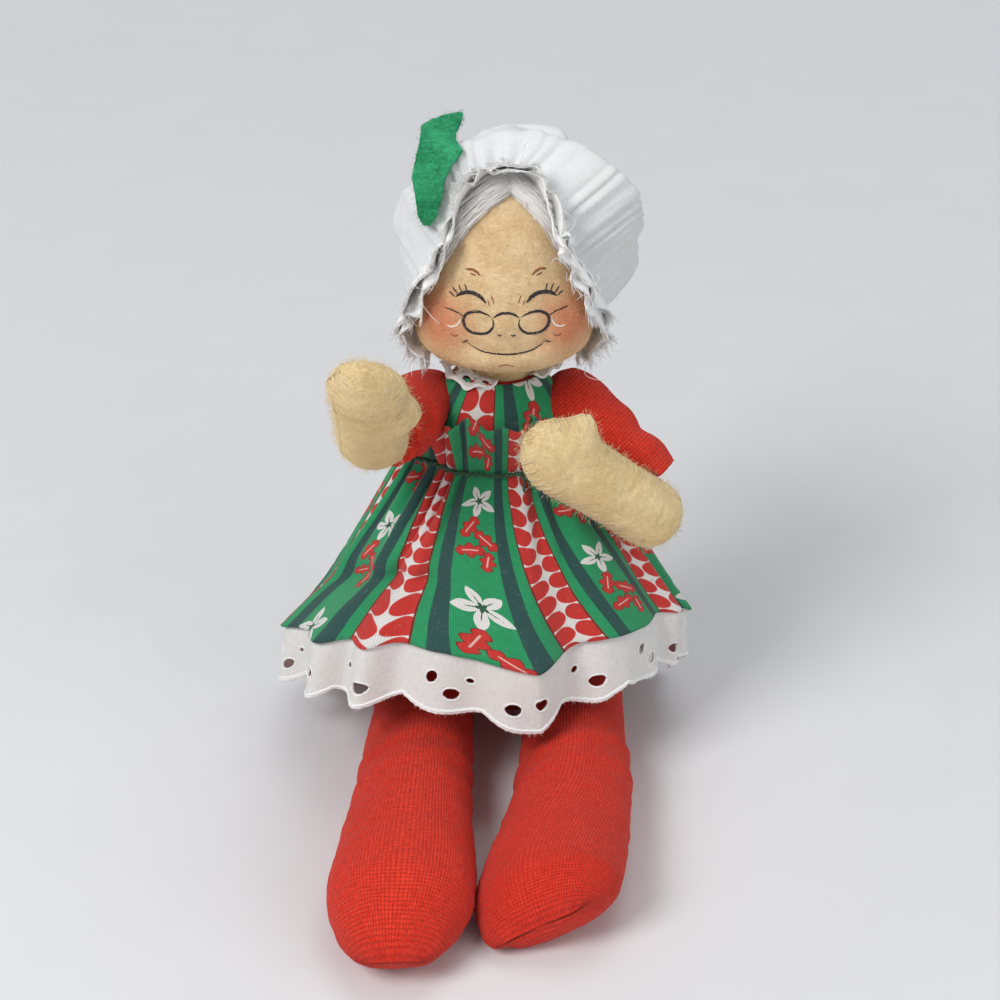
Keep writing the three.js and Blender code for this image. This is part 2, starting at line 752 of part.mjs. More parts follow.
function makeLeg(side) {
  const pose = legPoses[side];
  const thighFrame = legFrame(pose);
  const knee = framePoint(thighFrame, 0, 0, thighLength);
  const shinFrame = { ...thighFrame, origin: knee };
  const round = thighHalfHeight;
  const thighEnd = thighLength - kneeReach;
  const thighSizes = sizeRun([
    [0, thighHalfWidth, thighHalfHeight],
    [thighEnd * 0.5, (thighHalfWidth + kneeHalfWidth) / 2, thighHalfHeight],
    [thighEnd, kneeHalfWidth, thighHalfHeight],
  ]);
  const thighShape = { length: thighEnd, startReach: round, endReach: 0, sides: 16, floor: 0 };
  const thigh = cut(
    ringSolid(limbRings(thighFrame, thighSizes, thighShape)),
    legSocket(thighFrame, kneeHalfWidth, thighLength),
    bore(framePoint(thighFrame, 0, 0, -wireGap), framePoint(thighFrame, 0, 0, thighLength)),
  );
  const shinBody = shinLength - toeRound;
  const shinSizes = sizeRun([
    [0, kneeHalfWidth, thighHalfHeight],
    [shinBody * 0.5, (kneeHalfWidth + footHalfWidth) / 2, thighHalfHeight],
    [shinBody, footHalfWidth, footHalfHeight],
  ]);
  const shinShape = {
    length: shinBody,
    startReach: round,
    endReach: toeRound,
    sides: 18,
    roll: pose.roll,
    floor: 0,
  };
  const shinWireEnd = shinBody * 0.9;
  const stocking = cut(
    ringSolid(limbRings(shinFrame, shinSizes, shinShape)),
    bore(framePoint(shinFrame, 0, 0, -round - 1), framePoint(shinFrame, 0, 0, shinWireEnd + wireGap)),
  );
  const thighWireEnd = framePoint(thighFrame, 0, 0, thighLength - round - 1);
  const shinWireStart = framePoint(shinFrame, 0, 0, 1 - round);
  return {
    hip: pose.hip,
    knee,
    bendAxis: thighFrame.width,
    thigh,
    thighWire: bar(pose.hip, thighWireEnd, wireRadius),
    stocking,
    shinWire: bar(shinWireStart, framePoint(shinFrame, 0, 0, shinWireEnd), wireRadius),
  };
}

const legs = { left: makeLeg('left'), right: makeLeg('right') };

// The doll's scene graph: one group for each piece that moves by itself
function piece(name, geometry, material) {
  const bare = geometry.clone();
  bare.computeVertexNormals();
  const mesh = new THREE.Mesh(bare, material);
  mesh.name = name;
  return mesh;
}

function groupOf(...meshes) {
  return new THREE.Group().add(...meshes);
}

const wire = () => finish(steel, 0.4, 1);
const torsoGroup = groupOf(
  piece('torso', torso, finish(redCotton)),
  piece('spine_wire', spineWire, wire()),
  piece('bib', bib, finish(greenPrint)),
  piece('apron', apron, finish(greenPrint)),
  piece('waist_thread', waistThread, finish(greenThread, 0.7)),
  piece('petticoat', petticoat, finish(whiteCotton)),
  piece('lace_collar', collar, finish(whiteCotton)),
);
const neckGroup = groupOf(
  piece('neck', neck, finish(tanFelt)),
  piece('neck_wire', neckWire, wire()),
);
const headGroup = groupOf(
  piece('head', head, finish(tanFelt)),
  piece('hair', hair, finish(whiteHair)),
  piece('cap_crown', capCrown, finish(whiteCotton)),
  piece('cap_frill', capFrill, finish(whiteCotton)),
  piece('cap_thread', capThread, finish(whiteCotton, 0.7)),
  piece('holly_leaf', hollyLeaf, finish(greenFelt)),
);
const doll = new THREE.Group().add(torsoGroup, neckGroup.add(headGroup));
for (const side of ['left', 'right']) {
  const arm = arms[side];
  const leg = legs[side];
  const forearm = groupOf(
    piece(`${side}_mitt`, arm.mitt, finish(tanFelt)),
    piece(`${side}_forearm_wire`, arm.mittWire, wire()),
  );
  const shin = groupOf(
    piece(`${side}_stocking`, leg.stocking, finish(redCotton)),
    piece(`${side}_shin_wire`, leg.shinWire, wire()),
  );
  torsoGroup.add(
    groupOf(
      piece(`${side}_sleeve`, arm.sleeve, finish(redCotton)),
      piece(`${side}_arm_wire`, arm.sleeveWire, wire()),
      forearm,
    ),
    groupOf(
      piece(`${side}_thigh`, leg.thigh, finish(redCotton)),
      piece(`${side}_thigh_wire`, leg.thighWire, wire()),
      shin,
    ),
  );
}

// Pivots in millimetres, for whoever moves the doll
doll.userData.pivots = {
  neck: neckBase,
  shoulders,
  elbows: { left: arms.left.elbow, right: arms.right.elbow },
  elbowAxes: { left: arms.left.bendAxis, right: arms.right.bendAxis },
  hips: { left: legs.left.hip, right: legs.right.hip },
  knees: { left: legs.left.knee, right: legs.right.knee },
  legAxes: { left: legs.left.bendAxis, right: legs.right.bendAxis },
};

export default doll;
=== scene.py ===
import math

import bmesh
import bpy
import numpy as np
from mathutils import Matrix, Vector
from mathutils.bvhtree import BVHTree


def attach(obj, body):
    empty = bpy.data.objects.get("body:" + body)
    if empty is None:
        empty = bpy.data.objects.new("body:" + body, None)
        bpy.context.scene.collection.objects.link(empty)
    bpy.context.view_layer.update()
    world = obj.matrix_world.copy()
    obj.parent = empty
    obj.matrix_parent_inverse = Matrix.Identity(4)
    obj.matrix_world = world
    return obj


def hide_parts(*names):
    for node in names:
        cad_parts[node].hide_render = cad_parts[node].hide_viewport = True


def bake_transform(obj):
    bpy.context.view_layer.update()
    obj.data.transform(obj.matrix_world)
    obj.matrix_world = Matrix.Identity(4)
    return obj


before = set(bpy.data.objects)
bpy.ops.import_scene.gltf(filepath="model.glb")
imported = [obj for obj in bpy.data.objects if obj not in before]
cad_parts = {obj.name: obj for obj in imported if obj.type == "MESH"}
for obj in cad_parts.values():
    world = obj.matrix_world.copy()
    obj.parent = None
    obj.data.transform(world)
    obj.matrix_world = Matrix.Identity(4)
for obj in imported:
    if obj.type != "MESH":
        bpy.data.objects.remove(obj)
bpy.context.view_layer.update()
dice = np.random.default_rng(12)
mm = 0.001
tau = 2 * math.pi
quarter = math.pi / 2


# small tools, all in millimetres until the mesh is made
def unit(v):
    v = np.asarray(v, float)
    return v / np.linalg.norm(v, axis=-1, keepdims=True)


def mix(a, b, t):
    return a + (b - a) * t


def smooth(t, low=0.0, high=1.0):
    t = np.clip((t - low) / (high - low), 0, 1)
    return t * t * (3 - 2 * t)


def hump(value, middle, wide):
    return np.exp(-((value - middle) / wide)**2)


def arrays(*values):
    return np.broadcast_arrays(*(np.asarray(value, float) for value in values))


def throughKeys(keys):
    # natural cubic curve through rows of (place, size, size, ...)
    keys = np.array(keys, float)
    x, y = keys[:, 0], keys[:, 1:]
    n = len(x)
    h = np.diff(x)
    system, right = np.eye(n), np.zeros_like(y)
    for i in range(1, n - 1):
        system[i, i - 1:i + 2] = h[i - 1], 2 * (h[i - 1] + h[i]), h[i]
        right[i] = 6 * ((y[i + 1] - y[i]) / h[i] - (y[i] - y[i - 1]) / h[i - 1])
    bend = np.linalg.solve(system, right)

    def at(place):
        p = np.clip(np.atleast_1d(np.asarray(place, float)), x[0], x[-1])
        i = np.clip(np.searchsorted(x, p) - 1, 0, n - 2)
        a, b = (x[i + 1] - p)[:, None], (p - x[i])[:, None]
        w = h[i][:, None]
        return (bend[i] * a**3 + bend[i + 1] * b**3) / (6 * w) \
            + (y[i] / w - bend[i] * w / 6) * a + (y[i + 1] / w - bend[i + 1] * w / 6) * b
    return at


def lumps(points, size, seed, octaves=3):
    # soft seeded noise in -1..1 at the given size in mm: sums of waves in scattered directions
    waves = np.random.default_rng(seed)
    total = np.zeros(len(points))
    for octave in range(octaves):
        ways = unit(waves.normal(size=(7, 3)))
        starts = waves.uniform(0, tau, 7)
        total += np.sin(points @ ways.T * (tau / size * 2**octave) + starts).sum(1) / 7 * 0.6**octave
    return total


def gridFaces(rows, columns, closed=False):
    # quads of a grid of rows x columns points; closed joins the last column to the first
    at = np.arange(rows * columns).reshape(rows, columns)
    after = np.roll(at, -1, 1)
    wide = columns if closed else columns - 1
    quads = np.stack([at[:-1, :wide], after[:-1, :wide], after[1:, :wide], at[1:, :wide]], -1)
    return quads.reshape(-1, 4)


def meshOf(name, points, faces, uv=None):
    # uv is one pair for each point, in mm of flat cloth; both may come as grids
    data = bpy.data.meshes.new(name)
    points = np.asarray(points).reshape(-1, 3)
    data.from_pydata((points * mm).tolist(), [], [list(map(int, f)) for f in faces])
    piece = bpy.data.objects.new(name, data)
    bpy.context.scene.collection.objects.link(piece)
    if uv is not None:
        layer = data.uv_layers.new(name="cloth")
        loops = np.zeros(len(data.loops), int)
        data.loops.foreach_get("vertex_index", loops)
        layer.data.foreach_set("uv", np.asarray(uv).reshape(-1, 2)[loops].astype(np.float32).ravel())
    shadeSmooth(piece)
    data.update()
    return piece


def shadeSmooth(piece):
    piece.data.polygons.foreach_set("use_smooth", np.ones(len(piece.data.polygons), bool))


def pointsOf(piece):
    flat = np.zeros(len(piece.data.vertices) * 3, np.float32)
    piece.data.vertices.foreach_get("co", flat)
    return flat.reshape(-1, 3).astype(float) / mm


def setPoints(piece, points):
    piece.data.vertices.foreach_set("co", (points * mm).astype(np.float32).ravel())
    piece.data.update()


def normalsOf(piece):
    flat = np.zeros(len(piece.data.vertices) * 3, np.float32)
    piece.data.vertex_normals.foreach_get("vector", flat)
    return flat.reshape(-1, 3).astype(float)


def pushOut(piece, distances, floor=None):
    # moves each point along its normal, and no lower than the floor
    points = pointsOf(piece) + normalsOf(piece) * distances[:, None]
    if floor is not None:
        points[:, 2] = np.maximum(points[:, 2], floor)
    setPoints(piece, points)


def applyAll(piece):
    bpy.context.view_layer.objects.active = piece
    for modifier in list(piece.modifiers):
        with bpy.context.temp_override(object=piece, active_object=piece, selected_objects=[piece]):
            bpy.ops.object.modifier_apply(modifier=modifier.name)
    return piece


def weld(piece):
    # joins the doubled seam points, so that light runs smoothly across the seam; the uv stays split there
    shell = bmesh.new()
    shell.from_mesh(piece.data)
    bmesh.ops.remove_doubles(shell, verts=shell.verts, dist=1e-7)
    bmesh.ops.delete(shell, geom=[v for v in shell.verts if not v.link_faces], context="VERTS")
    bmesh.ops.recalc_face_normals(shell, faces=shell.faces)
    shell.to_mesh(piece.data)
    shell.free()
    piece.data.update()
    return piece


def thicken(piece, thickness):
    # gives a sheet of cloth its thickness in mm, half to each side
    solid = piece.modifiers.new("thickness", "SOLIDIFY")
    solid.thickness, solid.offset = thickness * mm, 0.0
    solid.use_even_offset = False
    return applyAll(piece)


def subdivide(piece, levels=1):
    piece.modifiers.new("rounder", "SUBSURF").levels = levels
    return applyAll(piece)


def joinPieces(name, group):
    with bpy.context.temp_override(active_object=group[0], object=group[0], selected_objects=group,
                                   selected_editable_objects=group):
        bpy.ops.object.join()
    group[0].name = group[0].data.name = name
    return group[0]


def dress(piece, material, body=None, slotName=None, stands=()):
    # colour, body and CAD nodes of a finished piece
    piece.data.materials.clear()
    piece.data.materials.append(material)
    if body:
        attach(piece, body)
    if stands:
        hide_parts(*stands)
    return piece


def surfaceOf(*group):
    # one search tree over finished pieces, in mm
    points, faces, start = [], [], 0
    for piece in group:
        own = pointsOf(piece)
        points.extend(map(Vector, own))
        faces.extend([[v + start for v in p.vertices] for p in piece.data.polygons])
        start += len(own)
    return BVHTree.FromPolygons(points, faces)


def threads(name, lines, radii, sides=4, taper=0.35):
    # round threads along rows of points; radii is one number, or one for each thread
    points, faces, uv, start = [], [], [], 0
    radii = np.broadcast_to(radii, len(lines))
    turn = np.arange(sides) / sides * tau
    offAxis = np.array([0.31, 0.52, 0.79])               # any direction that no thread runs in
    for line, radius in zip(lines, radii):
        line = np.asarray(line, float)
        ahead = unit(np.gradient(line, axis=0) + 1e-9)
        side = unit(np.cross(ahead, offAxis))
        over = np.cross(ahead, side)
        count = len(line)
        size = radius * (1 - (1 - taper) * np.abs(np.linspace(-1, 1, count))**4)
        ringPoints = line[:, None] + size[:, None, None] * (
            np.cos(turn)[None, :, None] * side[:, None] + np.sin(turn)[None, :, None] * over[:, None])
        points.append(ringPoints.reshape(-1, 3))
        length = lengthAlong(line)
        uv.append(np.stack(np.broadcast_arrays(turn[None] * radius, length[:, None]), -1).reshape(-1, 2))
        faces.extend((gridFaces(count, sides, True) + start).tolist())
        last = start + (count - 1) * sides
        faces.append([start + sides - 1 - i for i in range(sides)])
        faces.append([last + i for i in range(sides)])
        start += count * sides
    return meshOf(name, np.concatenate(points), faces, np.concatenate(uv))


def lengthAlong(line):
    return np.concatenate([[0], np.cumsum(np.linalg.norm(np.diff(line, axis=0), axis=1))])


# shader building: a Wire is one value in a shader, and each step of arithmetic with it adds one node
class Wire:
    def __init__(self, tree, socket):
        self.tree, self.socket = tree, socket

    def __add__(self, other):
        return calc("ADD", self, other)

    def __sub__(self, other):
        return calc("SUBTRACT", self, other)

    def __mul__(self, other):
        return calc("MULTIPLY", self, other)

    def __truediv__(self, other):
        return calc("DIVIDE", self, other)

    def __pow__(self, other):
        return calc("POWER", self, other)

    def __abs__(self):
        return calc("ABSOLUTE", self)


def put(socket, value):
    if isinstance(value, Wire):
        value.tree.links.new(value.socket, socket)
    elif value is not None:
        socket.default_value = value


def calc(operation, *values, clamp=False):
    tree = next(value.tree for value in values if isinstance(value, Wire))
    node = tree.nodes.new("ShaderNodeMath")
    node.operation, node.use_clamp = operation, clamp
    for socket, value in zip(node.inputs, values):
        put(socket, value)
    return Wire(tree, node.outputs[0])


def mapped(value, low, high, toLow=0.0, toHigh=1.0, shape="SMOOTHSTEP"):
    node = value.tree.nodes.new("ShaderNodeMapRange")
    node.interpolation_type, node.clamp = shape, True
    for socket, number in zip(node.inputs, (value, low, high, toLow, toHigh)):
        put(socket, number)
    return Wire(value.tree, node.outputs[0])


def fading(value, low, high):
    return mapped(value, low, high, 1.0, 0.0)


def inside(value, limit, soft):
    # 1 below the limit, 0 above it
    return fading(value, limit - soft, limit + soft)


def tint(factor, below, above):
    node = factor.tree.nodes.new("ShaderNodeMix")
    node.data_type = "RGBA"
    put(node.inputs["Factor"], factor)
    for socket, colour in zip(node.inputs[6:8], (below, above)):
        put(socket, colour if isinstance(colour, Wire) else (*colour, 1))
    return Wire(factor.tree, node.outputs[2])


def noise(vector, scale, detail=2.0, rough=0.55, warp=0.0):
    node = vector.tree.nodes.new("ShaderNodeTexNoise")
    put(node.inputs["Vector"], vector)
    for name, value in (("Scale", scale), ("Detail", detail), ("Roughness", rough), ("Distortion", warp)):
        put(node.inputs[name], value)
    return Wire(vector.tree, node.outputs["Fac"])


def stretched(vector, scale=(1, 1, 1), turn=(0, 0, 0), shift=(0, 0, 0)):
    node = vector.tree.nodes.new("ShaderNodeMapping")
    for name, value in (("Vector", vector), ("Location", shift), ("Rotation", turn), ("Scale", scale)):
        put(node.inputs[name], value)
    return Wire(vector.tree, node.outputs[0])


def lengthOf(vector):
    node = vector.tree.nodes.new("ShaderNodeVectorMath")
    node.operation = "LENGTH"
    put(node.inputs[0], vector)
    return Wire(vector.tree, node.outputs["Value"])


def acrossAndDown(vector):
    node = vector.tree.nodes.new("ShaderNodeSeparateXYZ")
    put(node.inputs[0], vector)
    return [Wire(vector.tree, socket) for socket in node.outputs[:2]]


def groupOf(name, inputs, outputs):
    # inputs: name and default, where None is a vector; outputs: names of single values
    tree = bpy.data.node_groups.new(name, "ShaderNodeTree")
    for label, default in inputs.items():
        kind = "NodeSocketVector" if default is None else "NodeSocketFloat"
        socket = tree.interface.new_socket(label, in_out="INPUT", socket_type=kind)
        if default is not None:
            socket.default_value = default
    for label in outputs:
        tree.interface.new_socket(label, in_out="OUTPUT", socket_type="NodeSocketFloat")
    given = tree.nodes.new("NodeGroupInput").outputs
    wires = {label: Wire(tree, given[label]) for label in inputs}
    return tree, wires, tree.nodes.new("NodeGroupOutput").inputs


def send(sockets, **values):
    for name, value in values.items():
        put(sockets[name], value)


def place(tree, group, **values):
    node = tree.nodes.new("ShaderNodeGroup")
    node.node_tree = group
    send(node.inputs, **values)
    return {socket.name: Wire(tree, socket) for socket in node.outputs}


def newMaterial(name, roughness=0.9, sheen=0.0, specular=0.3, sheenTint=None):
    material = bpy.data.materials.new(name)
    material.use_nodes = True
    tree = material.node_tree
    shader = tree.nodes["Principled BSDF"]
    shader.inputs["Roughness"].default_value = roughness
    shader.inputs["Specular IOR Level"].default_value = specular
    shader.inputs["Sheen Weight"].default_value = sheen
    shader.inputs["Sheen Roughness"].default_value = 0.5
    if sheenTint:
        shader.inputs["Sheen Tint"].default_value = (*sheenTint, 1)
    return material, tree, shader


def coordinate(tree, kind="Object"):
    return Wire(tree, tree.nodes.new("ShaderNodeTexCoord").outputs[kind])


def bumped(shader, height, depth):
    # depth in metres of the full height range
    node = height.tree.nodes.new("ShaderNodeBump")
    node.inputs["Strength"].default_value = 1.0
    node.inputs["Distance"].default_value = depth
    put(node.inputs["Height"], height)
    put(shader.inputs["Normal"], Wire(height.tree, node.outputs[0]))


# plain weave: warp and weft pass over and under each other; the vector is flat cloth in mm; Gap marks the
# dips between threads, which the finishes darken as painted shade
weaveGroup, given, out = groupOf("plainWeave", {"Cloth": None, "Across": 0.5, "Along": 0.6, "Wander": 0.12},
                                 ["Height", "Gap", "Thread"])
wander = (noise(given["Cloth"], 0.45, 3, 0.5) - 0.5) * 2.0 * given["Wander"]
clothX, clothY = acrossAndDown(given["Cloth"])
cosX = calc("COSINE", (clothX + wander) / given["Across"] * math.pi)
cosY = calc("COSINE", (clothY - wander) / given["Along"] * math.pi)
both = cosX * cosY
top = calc("MAXIMUM", (abs(cosX) + both) * 0.5, (abs(cosY) - both) * 0.5)
slubs = noise(stretched(given["Cloth"], (0.5, 4, 1)), 1.0, 2)
slubsAcross = noise(stretched(given["Cloth"], (4, 0.5, 1)), 1.0, 2)
send(out, Height=top**0.6, Gap=fading(top, 0.12, 0.62), Thread=(slubs + slubsAcross) * 0.5)

# felt: matted fibres in all directions; the vector is in metres
feltGroup, given, out = groupOf("mattedFibre", {"Place": None}, ["Height", "Tone"])
fibreWays = [((420, 2600, 2600), (0.4, 0.3, 0.7)), ((2600, 420, 2600), (0.9, -0.4, 0.2))]
fibres = [noise(stretched(given["Place"], scale, turn), 1.0, 2, 0.5, 1.2) for scale, turn in fibreWays]
ridges = calc("MAXIMUM", *fibres)
send(out, Height=noise(given["Place"], 900, 5, 0.7, 1.5) + ridges * 0.7,
     Tone=ridges * 0.6 + noise(given["Place"], 160, 3) * 0.5)

# age: faint uneven yellowing and soil; the vector is in metres
ageGroup, given, out = groupOf("ageing", {"Place": None, "Size": 60.0}, ["Soil"])
send(out, Soil=mapped(noise(given["Place"], given["Size"], 4, 0.5), 0.42, 0.75))

# finishes; pitch is the distance between threads in mm, across and along; gap is how strongly the dips
# between threads are darkened as painted shade
cottons = {
    "redCotton": {"dark": (0.57, 0.024, 0.013), "light": (0.90, 0.056, 0.027), "soil": (0.50, 0.020, 0.012),
                  "pitch": (0.60, 0.66), "bump": 0.00030, "sheen": 0.06, "roughness": 0.85, "gap": 0.55},
    "whiteCotton": {"dark": (0.66, 0.67, 0.69), "light": (0.74, 0.75, 0.76), "soil": (0.66, 0.63, 0.56),
                    "pitch": (0.24, 0.27), "bump": 0.00001, "sheen": 0.04, "roughness": 0.75, "gap": 0.12},
    # the frill's white cotton: the same cloth as the crown, painted brighter to stand in for light on the
    # frill, which lies in shade
    "frillCottonPaintedBright": {"dark": (0.86, 0.86, 0.86), "light": (0.94, 0.94, 0.93), "soil": (0.80, 0.77, 0.70),
                    "pitch": (0.24, 0.27), "bump": 0.00001, "sheen": 0.04, "roughness": 0.75, "gap": 0.12},
    "eyeletCotton": {"dark": (0.66, 0.65, 0.64), "light": (0.80, 0.79, 0.77), "soil": (0.70, 0.65, 0.55),
                     "pitch": (0.26, 0.28), "bump": 0.00003, "sheen": 0.05, "roughness": 0.85, "gap": 0.25},
}
# specular level; gapShade is the painted shade colour in the dips between threads, as a share of the dark
# thread colour; soil is real uneven age
cottonSoilAndShade = {"specular": 0.15, "gapShade": 0.45, "soilSize": 45.0, "soilMost": 0.35}


def wovenCotton(name, own):
    material, tree, shader = newMaterial(name, own["roughness"], own["sheen"], cottonSoilAndShade["specular"])
    across, along = own["pitch"]
    weave = place(tree, weaveGroup, Cloth=coordinate(tree, "UV"), Across=across, Along=along)
    age = place(tree, ageGroup, Place=coordinate(tree), Size=cottonSoilAndShade["soilSize"])
    colour = tint(mapped(weave["Thread"], 0.3, 0.7), own["dark"], own["light"])
    # painted shade: the dips between threads are darkened
    colour = tint(weave["Gap"] * own["gap"], colour, [c * cottonSoilAndShade["gapShade"] for c in own["dark"]])
    put(shader.inputs["Base Color"], tint(age["Soil"] * cottonSoilAndShade["soilMost"], colour, own["soil"]))
    bumped(shader, weave["Height"], own["bump"])
    return material


redCotton, whiteCotton, frillCottonPaintedBright, eyeletCotton = [wovenCotton(name, own) for name, own in cottons.items()]


def feltFinish(name, dark, light, bump=0.0004):
    material, tree, shader = newMaterial(name, 0.96, 0.35, 0.15, light)
    felt = place(tree, feltGroup, Place=coordinate(tree))
    colour = tint(mapped(felt["Tone"], 0.35, 0.75), dark, light)
    put(shader.inputs["Base Color"], colour)
    bumped(shader, felt["Height"], bump)
    return material, shader, colour


mittFelt = feltFinish("mittFelt", (0.74, 0.53, 0.24), (0.93, 0.74, 0.42))[0]
leafFelt = feltFinish("leafFelt", (0.005, 0.150, 0.055), (0.065, 0.50, 0.23), 0.0006)[0]

# head felt: the same cloth, with painted blush on both cheeks; places are in metres
blushCut = {"cheeksX": (-0.0105, 0.0165), "y": -0.0105, "z": 0.0995, "reach": 0.0100, "most": 0.85,
            "patchy": 0.004, "colour": (0.62, 0.17, 0.085)}
headFelt, shader, skin = feltFinish("headFelt", (0.60, 0.39, 0.19), (0.84, 0.63, 0.38), 0.0003)
headPlace = coordinate(skin.tree)
for cheekX in blushCut["cheeksX"]:
    away = lengthOf(stretched(headPlace, (1, 0.55, 1), shift=(-cheekX, -blushCut["y"], -blushCut["z"])))
    away = noise(headPlace, 300, 4) * blushCut["patchy"] + away
    blush = mapped(away, blushCut["reach"] * 0.35, blushCut["reach"] * 1.25, blushCut["most"], 0.0)
    skin = tint(blush, skin, blushCut["colour"])
put(shader.inputs["Base Color"], skin)


def threadFinish(name, dark, light, roughness=0.7, sheen=0.15):
    material, tree, shader = newMaterial(name, roughness, sheen)
    ply = noise(stretched(coordinate(tree, "UV"), (2.0, 9.0, 1), (0, 0, 0.6)), 1.0, 3)
    put(shader.inputs["Base Color"], tint(mapped(ply, 0.35, 0.65), dark, light))
    bumped(shader, ply, 0.00008)
    return material


whiteThread = threadFinish("whiteThread", (0.80, 0.80, 0.79), (0.92, 0.92, 0.91))
creamThread = threadFinish("creamThread", (0.60, 0.46, 0.26), (0.84, 0.72, 0.50))
greenThread = threadFinish("greenThread", (0.012, 0.05, 0.022), (0.05, 0.15, 0.075))
tanFibre = threadFinish("tanFibre", (0.74, 0.54, 0.27), (0.92, 0.74, 0.44), 0.8)
leafFibre = threadFinish("leafFibre", (0.012, 0.24, 0.09), (0.05, 0.45, 0.20), 0.8)
mohair = threadFinish("mohair", (0.78, 0.75, 0.72), (0.90, 0.88, 0.86), 0.45, 0.4)
facePaint = {
    "ink": threadFinish("faceInk", (0.012, 0.010, 0.014), (0.05, 0.04, 0.045), 0.8, 0.0),
    "brown": threadFinish("faceBrown", (0.20, 0.06, 0.03), (0.34, 0.12, 0.06), 0.85, 0.0),
    "white": threadFinish("faceWhite", (0.80, 0.77, 0.72), (0.92, 0.90, 0.86), 0.8, 0.0),
}

# dried glue at the neck: amber, glossy in patches
driedGlue, tree, shader = newMaterial("driedGlue", 0.35, 0.0, 0.5)
clots = noise(coordinate(tree), 500, 4)
put(shader.inputs["Base Color"], tint(clots, (0.45, 0.09, 0.012), (0.80, 0.30, 0.05)))
put(shader.inputs["Roughness"], mapped(clots, 0.3, 0.7, 0.25, 0.6))
bumped(shader, clots, 0.0006)

# armature wire: drawn steel with a dull oxide bloom
wireSteel, tree, shader = newMaterial("wireSteel", 0.4)
shader.inputs["Metallic"].default_value = 1
bloom = noise(coordinate(tree), 900, 4)
put(shader.inputs["Base Color"], tint(bloom, (0.42, 0.42, 0.43), (0.62, 0.62, 0.63)))
put(shader.inputs["Roughness"], mapped(bloom, 0.3, 0.7, 0.3, 0.55))
print("finishes made")


# printed cotton: stripes, dot pairs, holly and poinsettias on flat cloth in mm
printLayout = {
    "repeat": 25.0,          # across, from one dotted column to the next
    "drop": 27.0,            # down, from one flower to the next
    "stagger": 0.37,         # share of a drop from one band to the next
    "columnHalf": 3.5, "dotSide": 2.3, "dotRadius": 2.2, "dotPitch": 4.6,
    "ribbon": (5.5, 8.1),
    "green": (0.022, 0.345, 0.132), "deepGreen": (0.014, 0.250, 0.092),
    "ribbonGrey": (0.020, 0.070, 0.066), "paper": (0.80, 0.77, 0.75), "heart": (0.02, 0.10, 0.05),
    "red": (0.60, 0.026, 0.022), "outline": (0.16, 0.012, 0.010), "rib": (0.80, 0.50, 0.45),
    # the first of these two is painted shade in the dips between threads; the second is real fading on some
    # threads
    "threadGapShade": (0.012, 0.06, 0.03), "wornPale": (0.75, 0.78, 0.74),
    # leaves: across, down, turn, half length, half width
    "leaves": [(-1.5, 2.6, 0.5, 3.3, 2.1), (2.1, 5.4, -0.9, 3.1, 2.0), (-1.1, 8.6, 1.35, 3.2, 2.0),
               (2.3, 10.6, 0.2, 2.6, 1.7)],
    "flower": (0.2, -4.6, 4.8),     # across, down, size
}


def repeated(value, step):
    # place within its repeat, from the middle
    return (calc("FRACT", value) - 0.5) * step


dotGroup, given, out = groupOf("dotColumn", {"Side": 0.0, "Down": 0.0}, ["Dot"])
fromRow = repeated(given["Down"] / printLayout["dotPitch"], printLayout["dotPitch"])
fromSide = abs(given["Side"]) - printLayout["dotSide"]
send(out, Dot=inside(calc("SQRT", fromRow * fromRow + fromSide * fromSide), printLayout["dotRadius"], 0.1))

leafInputs = {"Side": 0.0, "Down": 0.0, "Turn": 0.0, "Long": 3.0, "Wide": 2.0}
leafGroup, given, out = groupOf("spinyLeaf", leafInputs, ["Leaf", "Rim", "Rib"])
cosTurn, sinTurn = calc("COSINE", given["Turn"]), calc("SINE", given["Turn"])
across = given["Side"] * cosTurn + given["Down"] * sinTurn
share = (given["Down"] * cosTurn - given["Side"] * sinTurn) / given["Long"]
body = calc("SUBTRACT", 1.0, share * share, clamp=True)**0.6
spikes = abs(calc("COSINE", share * 4.4))
within = body * given["Wide"] * (spikes * 0.5 + 0.5) - abs(across)
send(out, Leaf=mapped(within, 0.0, 0.12), Rim=fading(within, 0.18, 0.42),
     Rib=fading(abs(across), 0.08, 0.22) * fading(abs(share), 0.45, 0.6))

flowerGroup, given, out = groupOf("pointedFlower", {"Side": 0.0, "Down": 0.0, "Size": 4.5},
                                  ["Petal", "Heart", "Vein"])
reach = calc("SQRT", given["Side"] * given["Side"] + given["Down"] * given["Down"])
bearing = calc("ARCTAN2", given["Down"], given["Side"])
petals = 5
offAxis = abs(calc("FRACT", bearing * (petals / tau) + 0.13) - 0.5)
tip = calc("SUBTRACT", 1.0, offAxis * 2.0)**0.75
send(out, Petal=mapped((tip * 0.8 + 0.2) * given["Size"] - reach, 0.0, 0.12),
     Heart=mapped((tip * 0.14 + 0.1) * given["Size"] - reach, -0.05, 0.1),
     Vein=fading(offAxis * reach, 0.05, 0.1) * fading(reach / given["Size"], 0.4, 0.6))

hollyPrint, tree, shader = newMaterial("hollyPrint", 0.82, 0.15)
cloth = coordinate(tree, "UV")
clothX, clothY = acrossAndDown(cloth)
turns = clothX / printLayout["repeat"]
side = repeated(turns, printLayout["repeat"])
sideAway = abs(side)
bandTurns = turns + 0.5
bandSide = repeated(bandTurns, printLayout["repeat"])
bandDrops = clothY / printLayout["drop"] + calc("FLOOR", bandTurns) * printLayout["stagger"]
bandDown = repeated(bandDrops, printLayout["drop"])

